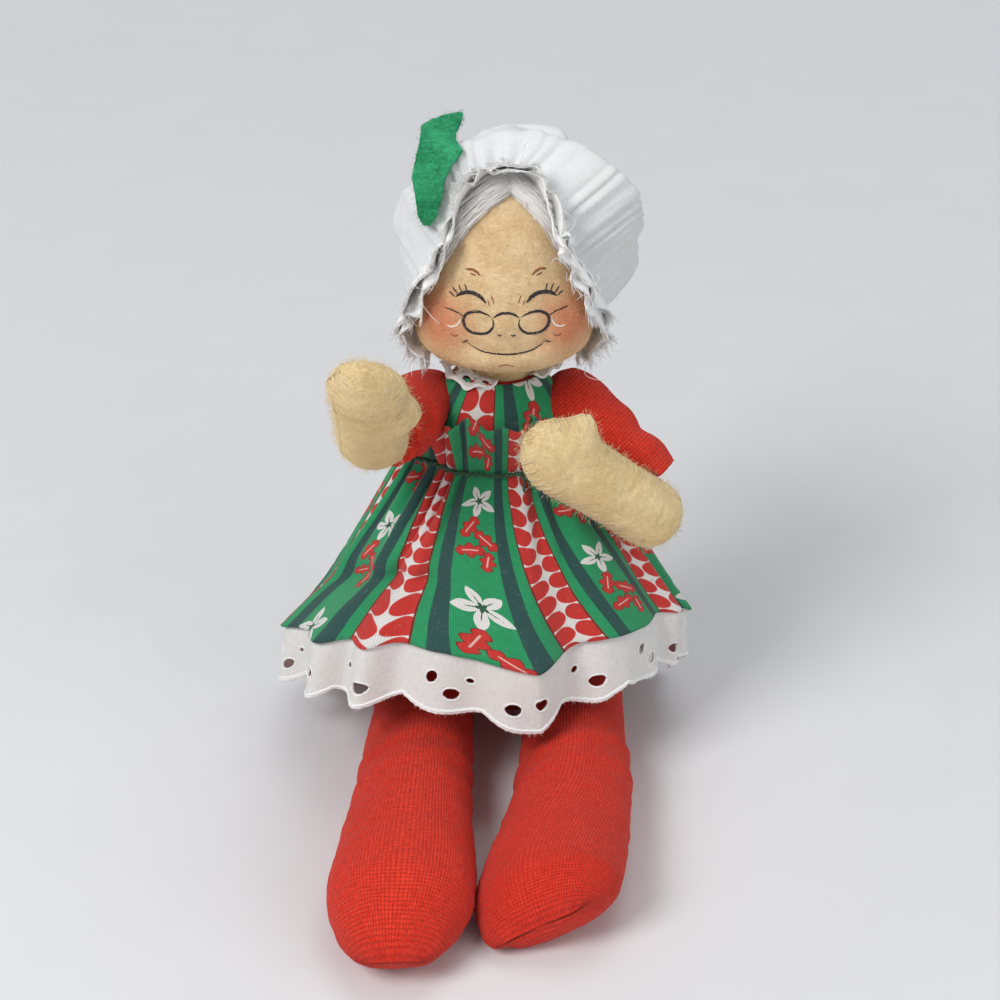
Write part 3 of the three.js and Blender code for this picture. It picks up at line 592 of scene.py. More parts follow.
colour = tint(noise(cloth, 0.5, 3), printLayout["deepGreen"], printLayout["green"])
low, high = printLayout["ribbon"]
inRibbon = mapped(sideAway, low - 0.1, low + 0.1) * inside(sideAway, high, 0.1)
colour = tint(inRibbon, colour, printLayout["ribbonGrey"])
dots = place(tree, dotGroup, Side=side, Down=clothY)["Dot"]
dotted = tint(dots, printLayout["paper"], printLayout["red"])
colour = tint(inside(sideAway, printLayout["columnHalf"], 0.06), colour, dotted)
columnEdge = fading(abs(sideAway - printLayout["columnHalf"]), 0.1, 0.22)
colour = tint(columnEdge, colour, printLayout["outline"])
flowerX, flowerY, flowerSize = printLayout["flower"]
flower = place(tree, flowerGroup, Side=bandSide - flowerX, Down=bandDown - flowerY, Size=flowerSize)
colour = tint(flower["Petal"], colour, printLayout["paper"])
colour = tint(calc("MAXIMUM", flower["Heart"], flower["Vein"]), colour, printLayout["heart"])
for leafX, leafY, turn, long, wide in printLayout["leaves"]:
    spot = {"Side": bandSide - leafX, "Down": bandDown - leafY}
    leaf = place(tree, leafGroup, **spot, Turn=turn, Long=long, Wide=wide)
    leafColour = tint(leaf["Rim"], printLayout["red"], printLayout["outline"])
    colour = tint(leaf["Leaf"], colour, tint(leaf["Rib"], leafColour, printLayout["rib"]))
weave = place(tree, weaveGroup, Cloth=cloth, Across=0.30, Along=0.33, Wander=0.08)
# painted shade in the dips between threads, then real fading on some threads
colour = tint(weave["Gap"] * 0.4, colour, printLayout["threadGapShade"])
colour = tint(mapped(weave["Thread"], 0.56, 0.72, 0, 0.16), colour, printLayout["wornPale"])
put(shader.inputs["Base Color"], colour)
bumped(shader, weave["Height"], 0.00009)
print("print made")


# camera, floor and light, in metres
shot = {"place": (0.00217, -0.3434, 0.2503), "down": 30.0, "lens": 70.2, "sensor": 36.0}
camera = bpy.data.objects.new("camera", bpy.data.cameras.new("camera"))
bpy.context.scene.collection.objects.link(camera)
camera.location = shot["place"]
camera.rotation_euler = (math.radians(90 - shot["down"]), 0, 0)
camera.data.lens, camera.data.sensor_width = shot["lens"], shot["sensor"]
bpy.context.scene.camera = camera

stage = {
    "profile": [(-1500, 0), (800, 0), (1000, 30), (1150, 130), (1230, 300), (1250, 1200)],  # y and z, in mm
    "halfWide": 1800, "under": 0.05, "dark": (0.70, 0.70, 0.71), "light": (0.74, 0.74, 0.75),
    "glowFrom": 0.10, "glowTo": 1.60, "glow": 0.56, "glowColour": (0.95, 0.97, 1.0, 1),
    "sky": (0.93, 0.96, 1.0, 1), "skyLight": 0.35, "skySeen": 0.55,
    # place, width and power of each lamp
    "lamps": {"keyLamp": ((-0.42, -0.42, 0.62), 0.35, 4.4), "fillLamp": ((0.55, -0.45, 0.35), 0.6, 1.5),
              "backLamp": ((0.10, 0.16, 0.70), 0.4, 1.0)},
    "target": (0, -0.02, 0.07),
}


def seenRays(tree):
    # 1 for what the camera sees, itself or in a reflection, and 0 for light that falls on the object
    path = tree.nodes.new("ShaderNodeLightPath").outputs
    kinds = ("Camera", "Glossy", "Transmission")
    direct, glossy, through = [Wire(tree, path["Is %s Ray" % kind]) for kind in kinds]
    return calc("MAXIMUM", calc("MAXIMUM", direct, glossy), through)


def makeFloor():
    # floor that sweeps up into a backdrop
    ends = (-stage["halfWide"], stage["halfWide"])
    points = [[x, y, z - stage["under"]] for y, z in stage["profile"] for x in ends]
    floor = meshOf("floor", points, gridFaces(len(stage["profile"]), 2))
    subdivide(floor, 2)
    material, tree, shader = newMaterial("paleFloor", 0.7)
    put(shader.inputs["Base Color"], tint(noise(coordinate(tree), 40, 3), stage["dark"], stage["light"]))
    # far from the object the floor is paler to the eye alone: it lights nothing, and the shadow stays
    away = lengthOf(coordinate(tree))
    glow = mapped(away, stage["glowFrom"], stage["glowTo"], 0.0, stage["glow"], "LINEAR")
    put(shader.inputs["Emission Strength"], seenRays(tree) * glow)
    shader.inputs["Emission Color"].default_value = stage["glowColour"]
    floor.data.materials.append(material)


def addLamp(name, place, size, power):
    data = bpy.data.lights.new(name, "AREA")
    data.energy, data.size = power, size
    lamp = bpy.data.objects.new(name, data)
    bpy.context.scene.collection.objects.link(lamp)
    lamp.location = place
    lamp.rotation_euler = (Vector(stage["target"]) - Vector(place)).to_track_quat("-Z", "Y").to_euler()


makeFloor()
for name, own in stage["lamps"].items():
    addLamp(name, *own)
world = bpy.data.worlds.new("studio")
bpy.context.scene.world = world
world.use_nodes = True
background = world.node_tree.nodes["Background"].inputs
background["Color"].default_value = stage["sky"]
put(background["Strength"], seenRays(world.node_tree) * stage["skySeen"] + stage["skyLight"])
bpy.context.scene.view_settings.view_transform = "Standard"
print("stage lit")


# stuffed pieces
def puff(piece, pinned, pressure, cap, frames=14):
    # stuffing: the cloth swells from inside by up to cap, held at its seams; worked ten times larger,
    # which the solver likes
    rest, larger = pointsOf(piece), 10.0
    trial = piece.copy()
    trial.data = piece.data.copy()
    bpy.context.scene.collection.objects.link(trial)
    setPoints(trial, rest * larger)
    trial.vertex_groups.new(name="seam").add(np.flatnonzero(pinned).tolist(), 1.0, "ADD")
    cloth = trial.modifiers.new("stuffing", "CLOTH")
    cloth.settings.quality = 5
    cloth.settings.use_pressure = True
    cloth.settings.uniform_pressure_force = pressure
    cloth.settings.vertex_group_mass = "seam"
    cloth.settings.effector_weights.gravity = 0
    cloth.collision_settings.use_collision = False
    cloth.point_cache.frame_start, cloth.point_cache.frame_end = 1, frames
    for step in range(1, frames + 1):
        bpy.context.scene.frame_set(step)
    swollen = trial.evaluated_get(bpy.context.evaluated_depsgraph_get())
    moved = pointsOf(swollen) / larger - rest
    length = np.linalg.norm(moved, axis=1, keepdims=True)
    setPoints(piece, rest + moved * np.minimum(1, cap / np.maximum(length, 1e-6)))
    bpy.data.objects.remove(trial)
    bpy.context.scene.frame_set(1)


def limbFrame(origin, along, widthHint):
    run = unit(along)
    deep = unit(np.cross(run, widthHint))
    return {"origin": np.array(origin, float), "run": run, "width": np.cross(deep, run), "deep": deep}


def inFrame(f, width, deep, run):
    width, deep, run = np.broadcast_arrays(width, deep, run)
    point = f["origin"] + width[..., None] * f["width"] + deep[..., None] * f["deep"]
    return point + run[..., None] * f["run"]


def anglesOf(sides):
    return np.arange(sides) / sides * tau


def flatRings(sides, girth, places):
    # flat cloth for rings of the given girth, with the seam column doubled
    return np.stack(np.meshgrid(np.append(anglesOf(sides), tau) / tau * girth, places), -1)


def closedLoft(name, rings, uv):
    # rings x sides points, both ends closed by a fan; a doubled seam column keeps the cloth's uv whole
    rows, sides = rings.shape[:2]
    closedRings = np.concatenate([rings, rings[:, :1]], 1)
    points = np.concatenate([closedRings.reshape(-1, 3), rings[0].mean(0)[None], rings[-1].mean(0)[None]])
    flat = np.concatenate([uv.reshape(-1, 2), uv[0].mean(0)[None], uv[-1].mean(0)[None]])
    faces = gridFaces(rows, sides + 1).tolist()
    wide, last = sides + 1, (rows - 1) * (sides + 1)
    pole = rows * wide
    faces += [[pole, i + 1, i] for i in range(sides)]
    faces += [[pole + 1, last + i, last + i + 1] for i in range(sides)]
    return weld(meshOf(name, points, faces, flat))


legs = {
    "right": {"hip": (-13.5, -9.74, 9.0), "inward": -0.04, "roll": 0.0, "toe": 0.34, "slant": -0.10,
              "longer": 3.0, "bow": 0.0, "taperFrom": 54.0, "seeds": (10, 14)},
    "left": {"hip": (17.5, -9.74, 9.0), "inward": -0.115, "roll": math.radians(28), "toe": 0.62,
             "slant": -0.20, "longer": -5.4, "bow": 2.6, "taperFrom": 60.0, "seeds": (9, 13)},
}
legCut = {
    # from the hip, then half width and half depth
    "sizes": [[0, 10.2, 9.3], [18, 10.8, 9.4], [33.2, 11.6, 9.5], [50, 13.0, 9.4], [64, 14.1, 8.8],
              [70, 13.4, 8.4]],
    "length": 75.2, "knee": 33.2, "ankle": 60.0, "sides": 64, "girth": 72.0,
    "topRings": (10, 25, 40, 55, 70, 82), "top": 9.2, "topRadius": 9.3,         # rings by angle, in degrees
    "toeRings": [8, 18, 28, 38, 48, 58, 67, 75, 82, 87, 90], "toeFrom": 64.0, "toeLong": 11.2,
    "square": (0.86, 0.96),             # a little fuller than a round section
    "rollOver": 31.5, "bowAt": 32.0, "bowSpan": 22.0, "bendSpan": 9.0,
    "floor": 0.05, "flatBelow": 1.2, "flatShare": 0.25,
}
legSizes = throughKeys(legCut["sizes"])


def legRing(f, own, t):
    angle = anglesOf(legCut["sides"])
    fullWidth, fullDeep = legSizes(np.clip(t, 0, legCut["sizes"][-1][0]))[0]
    shrink = math.sqrt(max(0, 1 - (t / legCut["topRadius"])**2)) if t < 0 else 1.0
    end = max(0.0, (t - legCut["ankle"]) / (legCut["length"] - legCut["ankle"]))
    taper = max(0.0, (t - own["taperFrom"]) / (legCut["length"] - own["taperFrom"]))
    halfWidth = fullWidth * shrink * (own["toe"] + (1 - own["toe"]) * max(0, 1 - taper**2.4)**0.62)
    halfDeep = fullDeep * shrink * max(0.002, 1 - end**2.2)**0.6
    squareWide, squareDeep = legCut["square"]
    across = halfWidth * np.sign(np.cos(angle)) * np.abs(np.cos(angle))**squareWide
    deep = halfDeep * np.sign(np.sin(angle)) * np.abs(np.sin(angle))**squareDeep
    # the foot rolls outwards and is lifted so that it still lies on the floor
    turn = own["roll"] * float(smooth((t - legCut["knee"]) / legCut["rollOver"]))
    lift = math.hypot(fullWidth * math.sin(turn), fullDeep * math.cos(turn)) - legCut["topRadius"]
    width = across * math.cos(turn) - deep * math.sin(turn)
    height = across * math.sin(turn) + deep * math.cos(turn) + (lift if own["roll"] else 0)
    bow = own["bow"] * hump(t, legCut["bowAt"], legCut["bowSpan"])          # lies a little bent outwards
    return inFrame(f, width + bow, height, t + (own["slant"] * across + own["longer"]) * end)


def makeLeg(side, own):
    f = limbFrame(own["hip"], (own["inward"], -1, 0), (1, 0, 0))
    start = [-legCut["top"] * math.cos(math.radians(a)) for a in legCut["topRings"]]
    toe = legCut["toeFrom"] + legCut["toeLong"] * np.sin(np.radians(legCut["toeRings"]))
    stations = np.concatenate([start, np.linspace(0, legCut["toeFrom"], 44), toe])
    rings = np.array([legRing(f, own, t) for t in stations])
    height, bed = rings[..., 2], legCut["flatBelow"]
    height = np.where(height < bed, bed - (bed - height) * legCut["flatShare"], height)
    rings[..., 2] = np.maximum(height, legCut["floor"])
    leg = closedLoft(side + "Leg", rings, flatRings(legCut["sides"], legCut["girth"], stations))
    points = pointsOf(leg)
    sewn = np.abs((points - f["origin"]) @ f["deep"]) < 0.25
    puff(leg, sewn | (points[:, 2] < 0.6), 5.0, 0.7)
    points = pointsOf(leg)
    run = (points - f["origin"]) @ f["run"]
    # slack cloth: soft dents all over, drag lines near the skirt, a dent beside the toe seam
    broad, fine = own["seeds"]
    dents = 0.35 * lumps(points, 19, broad) + 0.22 * lumps(points * [1, 2.2, 1], 9, fine)
    drag = 0.35 * np.sin(run * 0.85 + points[:, 0] * 0.35) * hump(run, 26, 9)
    toeDent = -0.5 * hump(run, 69, 3.2) * smooth(lumps(points, 11, 31), -0.2, 0.9)
    pushOut(leg, dents + drag + toeDent, legCut["floor"])
    dress(leg, redCotton, None, "red_cotton", (side + "_thigh", side + "_stocking"))
    knee, reach = f["origin"] + f["run"] * legCut["knee"], f["run"] * legCut["bendSpan"]
    above, below = ((knee - reach) * mm).tolist(), ((knee + reach) * mm).tolist()
    side + "_thigh"
    side + "_lower_leg"
    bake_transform(leg)
    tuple(above)
    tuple(below)


for side, own in legs.items():
    makeLeg(side, own)
print("legs stuffed")

torsoCut = {
    # height, half width, half depth, middle in y
    "sizes": [[0, 19, 8.5, 5.5], [5.7, 22, 9.5, 5.5], [16.2, 23, 9.5, 5.5], [32, 22, 13, 2], [63, 16, 11, -1],
              [73, 15, 9.5, -1], [82, 9, 7, 0]],
    "middle": 2, "inside": -0.35, "sides": 72, "girth": 110.0, "seam": 2, "waist": 63,
}
torsoSizes = throughKeys(torsoCut["sizes"])


def torsoPoint(height, angle, grow=0.0):
    height, angle = arrays(height, angle)
    size = torsoSizes(height.ravel()).reshape(*height.shape, 3)
    return np.stack([
        torsoCut["middle"] + (size[..., 0] + grow) * np.cos(angle),
        size[..., 2] + (size[..., 1] + grow) * np.sin(angle),
        height,
    ], -1)


def makeTorso():
    sides = torsoCut["sides"]
    heights = np.concatenate([[0, 0.4, 1.2], np.linspace(2.5, 81, 46), [81.6, 82]])
    rings = torsoPoint(heights[:, None], anglesOf(sides)[None], torsoCut["inside"])
    torso = closedLoft("torsoBag", rings, flatRings(sides, torsoCut["girth"], heights))
    points = pointsOf(torso)
    ends = (points[:, 2] < 1.0) | (points[:, 2] > 80.5)
    sewn = np.abs(points[:, 1] - torsoCut["seam"]) < 0.5
    puff(torso, ends | sewn, 3.0, 0.35)
    points = pointsOf(torso)
    bearing = np.arctan2(points[:, 1], points[:, 0] - torsoCut["middle"])
    pull = 0.25 * np.sin(bearing * 17) * hump(points[:, 2], torsoCut["waist"], 7)
    dents = np.minimum(0.3, 0.3 * lumps(points, 17, 40) + pull - 0.15)
    pushOut(torso, dents * smooth(points[:, 2], 1, 5))
    dress(torso, redCotton, "torso", "red_cotton", ("torso",))


makeTorso()

arms = {
    "left": {"shoulder": (16.5, -2, 75), "upper": (0.66, -0.33, -0.66), "fore": (-0.68, -0.33, 0.65),
             "elbow": (31.6497, -15.7503, 57.8493),
             "boreEnd": 16, "thumbAt": 0.80, "thumbSide": 1, "seed": 3},
    "right": {"shoulder": (-12.5, -2, 75), "upper": (-0.42, -0.9, 0.12), "fore": (0.03, -0.68, 0.73),
              "elbow": (-21.7363, -21.7921, 77.6389),
              "boreEnd": 9, "thumbAt": 0.55, "thumbSide": 1, "seed": 4},
}
viewerWay = np.array([0, -0.866, 0.5])
sleeveCut = {"boreStart": -5, "boreRadius": 2.0, "voxel": 0.75, "radius": 8.0, "most": 0.35}


def makeSleeve(side, own):
    # starts from the CAD sleeve, so that the cut for the mitt stays; the bore is filled before remeshing
    f = limbFrame(own["shoulder"], own["upper"], (0, 0, 1))
    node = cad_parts[side + "_sleeve"]
    copy = bpy.data.objects.new(side + "Sleeve", node.data.copy())
    bpy.context.scene.collection.objects.link(copy)
    line = inFrame(f, 0, 0, np.linspace(sleeveCut["boreStart"], own["boreEnd"], 6))
    plug = threads("plug", [line], sleeveCut["boreRadius"], 10, 1.0)
    sleeve = joinPieces(side + "Sleeve", [copy, plug])
    remesh = sleeve.modifiers.new("skin", "REMESH")
    remesh.mode, remesh.voxel_size = "VOXEL", sleeveCut["voxel"] * mm
    relax = sleeve.modifiers.new("relax", "SMOOTH")
    relax.factor, relax.iterations = 0.5, 6
    applyAll(sleeve)
    run = (pointsOf(sleeve) - f["origin"]) @ f["run"]
    puff(sleeve, (run < -4) | (run > run.max() - 1.2), 4.0, 0.5)
    points = pointsOf(sleeve)
    across, deep = (points - f["origin"]) @ f["width"], (points - f["origin"]) @ f["deep"]
    angle = np.arctan2(deep, across)
    folds = 0.5 * np.sin(run * 0.62 + 2.2 * np.sin(angle + 0.7) + own["seed"]) * hump(run, 15, 9)
    folds += 0.35 * lumps(points, 12, own["seed"] + 20) - 0.2
    pushOut(sleeve, np.minimum(folds, sleeveCut["most"]))
    wrapCloth(sleeve, angle * sleeveCut["radius"], run, tau * sleeveCut["radius"])
    shadeSmooth(sleeve)
    dress(sleeve, redCotton, side + "_upper_arm", "red_cotton", (side + "_sleeve",))


def wrapCloth(piece, around, along, whole):
    # cloth coordinates for a remeshed tube; faces that cross the back line are unwrapped
    layers = piece.data.uv_layers
    layer = layers[0] if layers else layers.new(name="cloth")
    layer.name = "cloth"
    for polygon in piece.data.polygons:
        ids = list(polygon.vertices)
        u = around[ids]
        if u.max() - u.min() > whole / 2:
            u = np.where(u < 0, u + whole, u)
        for loop, value, vertex in zip(polygon.loop_indices, u, ids):
            layer.data[loop].uv = (value, along[vertex])


mittCut = {
    # from the elbow, then half width and half depth
    "sizes": [[-6.3, 4.6, 4.4], [-3, 6.0, 5.1], [4, 6.6, 5.7], [14, 6.5, 5.3], [23, 6.9, 4.6], [29, 6.9, 4.2],
              [36, 5.6, 3.4]],
    "heel": -6.3, "tip": 36.0, "tipReach": 9.45, "lines": 25, "felt": 0.28,
    # where the outline and the padding start to close: at the tip, at the heel and over what length
    "outline": (26.5, -1.5, 4.8), "outlinePowers": (2.6, 2.4),
    "padding": (25, -0.5, 5.8), "paddingPowers": (2.2, 2.2),
    "thumb": 2.6, "thumbSpan": 2.9, "thumbPower": 2.6, "thumbBack": 3,
    "stitchPitch": 1.55, "stitchIn": (1.5, 0.7), "stitchOver": 0.1, "stitchRadius": 0.17, "stitchLift": 0.12,
}
mittSizes = throughKeys(mittCut["sizes"])


def mittClosing(t, limits, powers):
    # 1 along the mitt, rounded down to 0 at its tip and its heel
    tipFrom, heelFrom, heelLong = limits
    tip = np.clip((t - tipFrom) / (mittCut["tip"] - tipFrom), 0, 1)
    heel = np.clip((heelFrom - t) / heelLong, 0, 1)
    return np.maximum(0, 1 - tip**powers[0])**0.5, np.maximum(0, 1 - heel**powers[1])**0.5


def mittHalf(own, t, sideSign):
    # half width at each place along the mitt, with the thumb as a bump on one side
    tip, heel = mittClosing(t, mittCut["outline"], mittCut["outlinePowers"])
    half = mittSizes(np.clip(t, mittCut["heel"], mittCut["tip"]))[:, 0] * tip * heel
    offThumb = (t - mittCut["tip"] * own["thumbAt"] + mittCut["thumbBack"]) / mittCut["thumbSpan"]
    thumb = mittCut["thumb"] * np.exp(-np.abs(offThumb)**mittCut["thumbPower"])
    return half + np.where(sideSign == own["thumbSide"], thumb, 0)


def makeMitt(side, own):
    fore = unit(own["fore"])
    f = limbFrame(own["elbow"], fore, np.cross(fore, viewerWay))
    tipFrom, _, heelLong = mittCut["outline"]
    heelPlaces = mittCut["heel"] + heelLong * (1 - np.cos(np.linspace(0.04, 1.5, 9)))
    tipPlaces = tipFrom + mittCut["tipReach"] * np.sin(np.linspace(0.05, quarter, 16))
    places = np.concatenate([heelPlaces, np.linspace(-0.8, 26, 44), tipPlaces])
    rows, lines = len(places), mittCut["lines"]
    share = np.sin(np.linspace(-quarter, quarter, lines))
    right, left = mittHalf(own, places, 1), mittHalf(own, places, -1)
    width = np.where(share >= 0, share * right[:, None], share * left[:, None])
    tip, heel = mittClosing(places, mittCut["padding"], mittCut["paddingPowers"])
    crown = mittSizes(np.clip(places, mittCut["heel"], mittCut["tip"]))[:, 1] * tip * heel
    deep = crown[:, None] * np.maximum(0, 1 - np.abs(share)**2.3)**0.62
    run = np.repeat(places[:, None], lines, 1)
    front = inFrame(f, width, -deep - mittCut["felt"], run)
    back = inFrame(f, width, deep + mittCut["felt"], run)
    quads = gridFaces(rows, lines)
    faces = quads.tolist() + (quads[:, ::-1] + rows * lines).tolist()
    # the sewn edge joins both felts all round
    loop = list(range(lines)) + [r * lines + lines - 1 for r in range(1, rows)]
    loop += [(rows - 1) * lines + i for i in range(lines - 2, -1, -1)]
    loop += [r * lines for r in range(rows - 2, 0, -1)]
    faces += [[b, a, a + rows * lines, b + rows * lines] for a, b in zip(loop, loop[1:] + loop[:1])]
    flat = np.stack([width, run], -1)
    mitt = weld(meshOf(side + "Mitt", [front, back], faces, [flat, flat]))
    rim = np.zeros(2 * rows * lines, bool)
    rim[loop] = rim[[v + rows * lines for v in loop]] = True
    puff(mitt, rim, 4.0, 0.6)
    subdivide(mitt)
    points = pointsOf(mitt)
    pushOut(mitt, 0.28 * lumps(points, 8, own["seed"] + 60) + 0.12 * lumps(points, 2.6, own["seed"] + 70))
    dress(mitt, mittFelt, side + "_forearm", "tan_felt", (side + "_mitt",))
    sewMitt(side, own, f, mitt)
    return mitt


def sewMitt(side, own, f, mitt):
    # overcast stitches: in 1.5 mm from the edge on one side, over the edge and in again on the other
    skin = surfaceOf(mitt)
    far, near = mittCut["stitchIn"]
    over = mittCut["stitchOver"]
    stitches = []
    steps = np.arange(-2.0, 35.0, mittCut["stitchPitch"])

    def onSkin(width, way, run):
        start = inFrame(f, width, way * 9, run)
        hit = skin.ray_cast(Vector(start), Vector(-way * f["deep"]))[0]
        if not hit:
            return inFrame(f, width, way * 0.4, run)
        return np.array(hit) + way * f["deep"] * mittCut["stitchLift"]

    for sign in (1, -1):
        halves = mittHalf(own, steps, sign)
        for t, half in zip(steps + dice.uniform(-0.25, 0.25, len(steps)), halves):
            slant = dice.uniform(0.2, 0.7)
            edge = sign * half
            stitches.append([
                onSkin(edge - sign * far, -1, t - slant), onSkin(edge - sign * near, -1, t - slant * 0.5),
                inFrame(f, edge + sign * over, -0.25, t), inFrame(f, edge + sign * over, 0.25, t),
                onSkin(edge - sign * near, 1, t + slant * 0.5), onSkin(edge - sign * far, 1, t + slant),
            ])
    thread = threads(side + "MittStitches", stitches, mittCut["stitchRadius"], 5)
    dress(thread, creamThread, side + "_forearm", "tan_felt")


for side, own in arms.items():
    makeSleeve(side, own)
mittPieces = {side: makeMitt(side, own) for side, own in arms.items()}
print("arms stuffed")


# apron and petticoat share one skirt surface: share 0 at the waist, 1 at the apron's hem
skirt = {
    "flat": 200.0,              # eight repeats of the print go round
    "slant": 9.0, "slantAt": -62.0, "slantSpan": 58,
    "waist": (18.0, 13.0, 66.0), "halfWidth": 43.0, "front": 33.0, "back": 25.0,
    "sideHem": 21.0, "frontHem": 38.2, "backHem": 15.0, "leftLift": 3.6, "kickLift": 2.0,
    "folds": 13, "foldDepth": 1.7, "gathers": 31, "gatherDepth": 0.8,
    "cornerAt": -77.0, "corner": 3.4, "cornerDrop": 3.4,    # the sharp fold that hangs lowest in front
    "kickAt": -128.0, "kick": 6.0, "kickDip": 2.2,          # the hem that turns outwards at the doll's right
    "besideAt": -112, "besideLift": 1.2,                    # the hem between the kick and the corner
    "ruffle": 11.5, "ruffleBack": 2.5, "ruffleFlare": 2.2,
    "underApron": 1.3, "laceDrop": 12.8, "laceSpread": (0.0, 5.0),
    "sideIn": (1.2, 3.2),       # narrower at the doll's left and right
    "cloth": 0.5, "long": 47, "printStart": (6.0, 14.0),
    "hemRow": 0.79, "hemPitch": 2.1, "hemStitch": 1.1, "hemRadius": 40, "hemThread": 0.09,
}


def turnsAway(angle, middle):
    # degrees round the skirt from the middle; the angle is in radians
    return (np.degrees(angle) - middle + 180) % 360 - 180


def bell(angle, middle, wide):
    return hump(turnsAway(angle, middle), 0, wide)


def tent(angle, middle, wide):
    return np.maximum(0, 1 - np.abs(turnsAway(angle, middle)) / wide)


def bowl(value, power):
    return np.maximum(0, value)**power


def crowded(angle):
    # folds stand closer together in some places than in others
    return angle + 0.16 * np.sin(3 * angle + 0.8) + 0.09 * np.sin(7 * angle + 2.1)


def hemHeight(angle):
    front, back = bowl(-np.sin(angle), 0.7), bowl(np.sin(angle), 1)
    height = skirt["sideHem"] + (skirt["frontHem"] - skirt["sideHem"]) * front
    height = height + (skirt["backHem"] - skirt["sideHem"]) * back
    height = height - skirt["cornerDrop"] * tent(angle, skirt["cornerAt"], 22)
    height = height + skirt["besideLift"] * bell(angle, skirt["besideAt"], 16)
    height = height + skirt["leftLift"] * bell(angle, -18, 36)
    return height + skirt["kickLift"] * bell(angle, skirt["kickAt"], 26)


def foldOffset(share, angle):
    # gathers crowd under the waist thread and open into broad uneven folds lower down
    uneven = crowded(angle)
    broad = skirt["foldDepth"] * np.cos(skirt["folds"] * uneven) * share**1.2
    fine = skirt["gatherDepth"] * np.cos(skirt["gathers"] * uneven + 1.3 * np.sin(2 * angle))
    fine = fine * (0.35 + 0.65 * smooth(share, 0, 0.12)) * (1 - smooth(share, 0.2, 0.8))
    corner = skirt["corner"] * tent(angle, skirt["cornerAt"], 15) * share**1.6
    turnedUp = skirt["kick"] * np.clip((share - 0.74) / 0.26, 0, 1)
    turnedUp = turnedUp - skirt["kickDip"] * hump(share, 0.72, 0.08)
    return broad + fine + corner + bell(angle, skirt["kickAt"], 36) * turnedUp


def skirtPoint(share, angle, inset):
    share, angle, inset = arrays(share, angle, inset)
    flare = share**1.1
    out = foldOffset(share, angle) - inset
    reach = np.where(np.sin(angle) < 0, skirt["front"], skirt["back"])
    leftIn, rightIn = skirt["sideIn"]
    wide = skirt["halfWidth"] - leftIn * smooth(np.cos(angle), 0, 0.9)
    wide = wide - rightIn * smooth(-np.cos(angle), 0, 0.9)
    waistWide, waistDeep, waistHeight = skirt["waist"]
    return np.stack([
        mix(2.0, -1.0, flare) + (mix(waistWide, wide, flare) + out) * np.cos(angle),
        mix(-1.0, 0.0, flare) + (mix(waistDeep, reach, flare) + out) * np.sin(angle),
        mix(waistHeight, hemHeight(angle), share),
    ], -1)


def rufflePoint(rise, angle, inset):
    height = mix(skirt["ruffleBack"], skirt["ruffle"], bowl(-np.sin(angle), 1.4))
    uneven = skirt["gathers"] * crowded(angle)
    wave = skirt["ruffleFlare"] * (1 + 0.55 * np.cos(uneven * 0.5 + 0.6)) + 0.5 * np.cos(uneven)
    point = skirtPoint(np.zeros_like(rise), angle, inset - rise * wave)
    point[..., 2] += rise * height * (1 + 0.10 * np.sin(9 * angle) + 0.06 * np.sin(20 * angle + 1))
    return point


def makeApron():
    columns, ruffleRows, skirtRows, inset = 520, 12, 52, 0.3
    angle = np.linspace(0, tau, columns + 1) - quarter + math.pi      # the seam is at the back
    rise = np.linspace(1, 0, ruffleRows, endpoint=False)
    share = np.linspace(0, 1, skirtRows)**1.15
    upper = rufflePoint(*np.meshgrid(rise, angle, indexing="ij"), inset)
    lower = skirtPoint(*np.meshgrid(share, angle, indexing="ij"), inset)
    rows = np.concatenate([upper, lower])
    down = np.concatenate([-rise * skirt["ruffle"], share * skirt["long"]])
    across = (angle - angle[0]) / tau * skirt["flat"]
    startX, startY = skirt["printStart"]
    flat = np.stack(np.meshgrid(across + startX, down + startY), -1)
    # the stripes run slantwise in front, where the cloth was gathered off its grain
    slant = bell(angle, skirt["slantAt"], skirt["slantSpan"])
    flat[..., 0] -= skirt["slant"] * (np.concatenate([0 * rise, share**1.3])[:, None] * slant)
    ripples = 0.12 * lumps(rows.reshape(-1, 3), 7, 81).reshape(rows.shape[:2])
    rows = rows + ripples[..., None] * np.array([0.6, -0.8, 0.0])
    rows[:, -1] = rows[:, 0]
    apron = meshOf("apronSkirt", rows, gridFaces(*rows.shape[:2]), flat)
    thicken(weld(apron), skirt["cloth"])
    dress(apron, hollyPrint, "torso", "holly_print", ("apron",))
    # small hem stitches, about a fifth of the skirt above the edge
    stitches = []
    for start in np.arange(0, tau, skirt["hemPitch"] / skirt["hemRadius"]):
        ends = np.linspace(start, start + skirt["hemStitch"] / skirt["hemRadius"], 3)
        stitches.append(skirtPoint(skirt["hemRow"], ends, [0.1, -0.06, 0.1]))
    hem = threads("apronHemStitches", stitches, skirt["hemThread"], 4)
    dress(hem, greenThread, "torso", "green_thread")


def petticoatPoint(row, angle, inset):
    # rows 0 to 1 lie under the apron, and 1 to 2 are the lace below it
    row, angle = arrays(row, angle)
    drop = np.maximum(0, row - 1)
    spread = drop * mix(*skirt["laceSpread"], bowl(-np.sin(angle), 1)) / 2
    flutter = 0.9 * drop * np.sin(17 * angle + 1.5 * np.sin(3 * angle)) + 0.4 * drop * np.sin(29 * angle + 1)
    point = skirtPoint(np.minimum(row, 1), angle, skirt["underApron"] + inset - spread - flutter)
    point[..., 2] -= skirt["laceDrop"] * drop
    return point


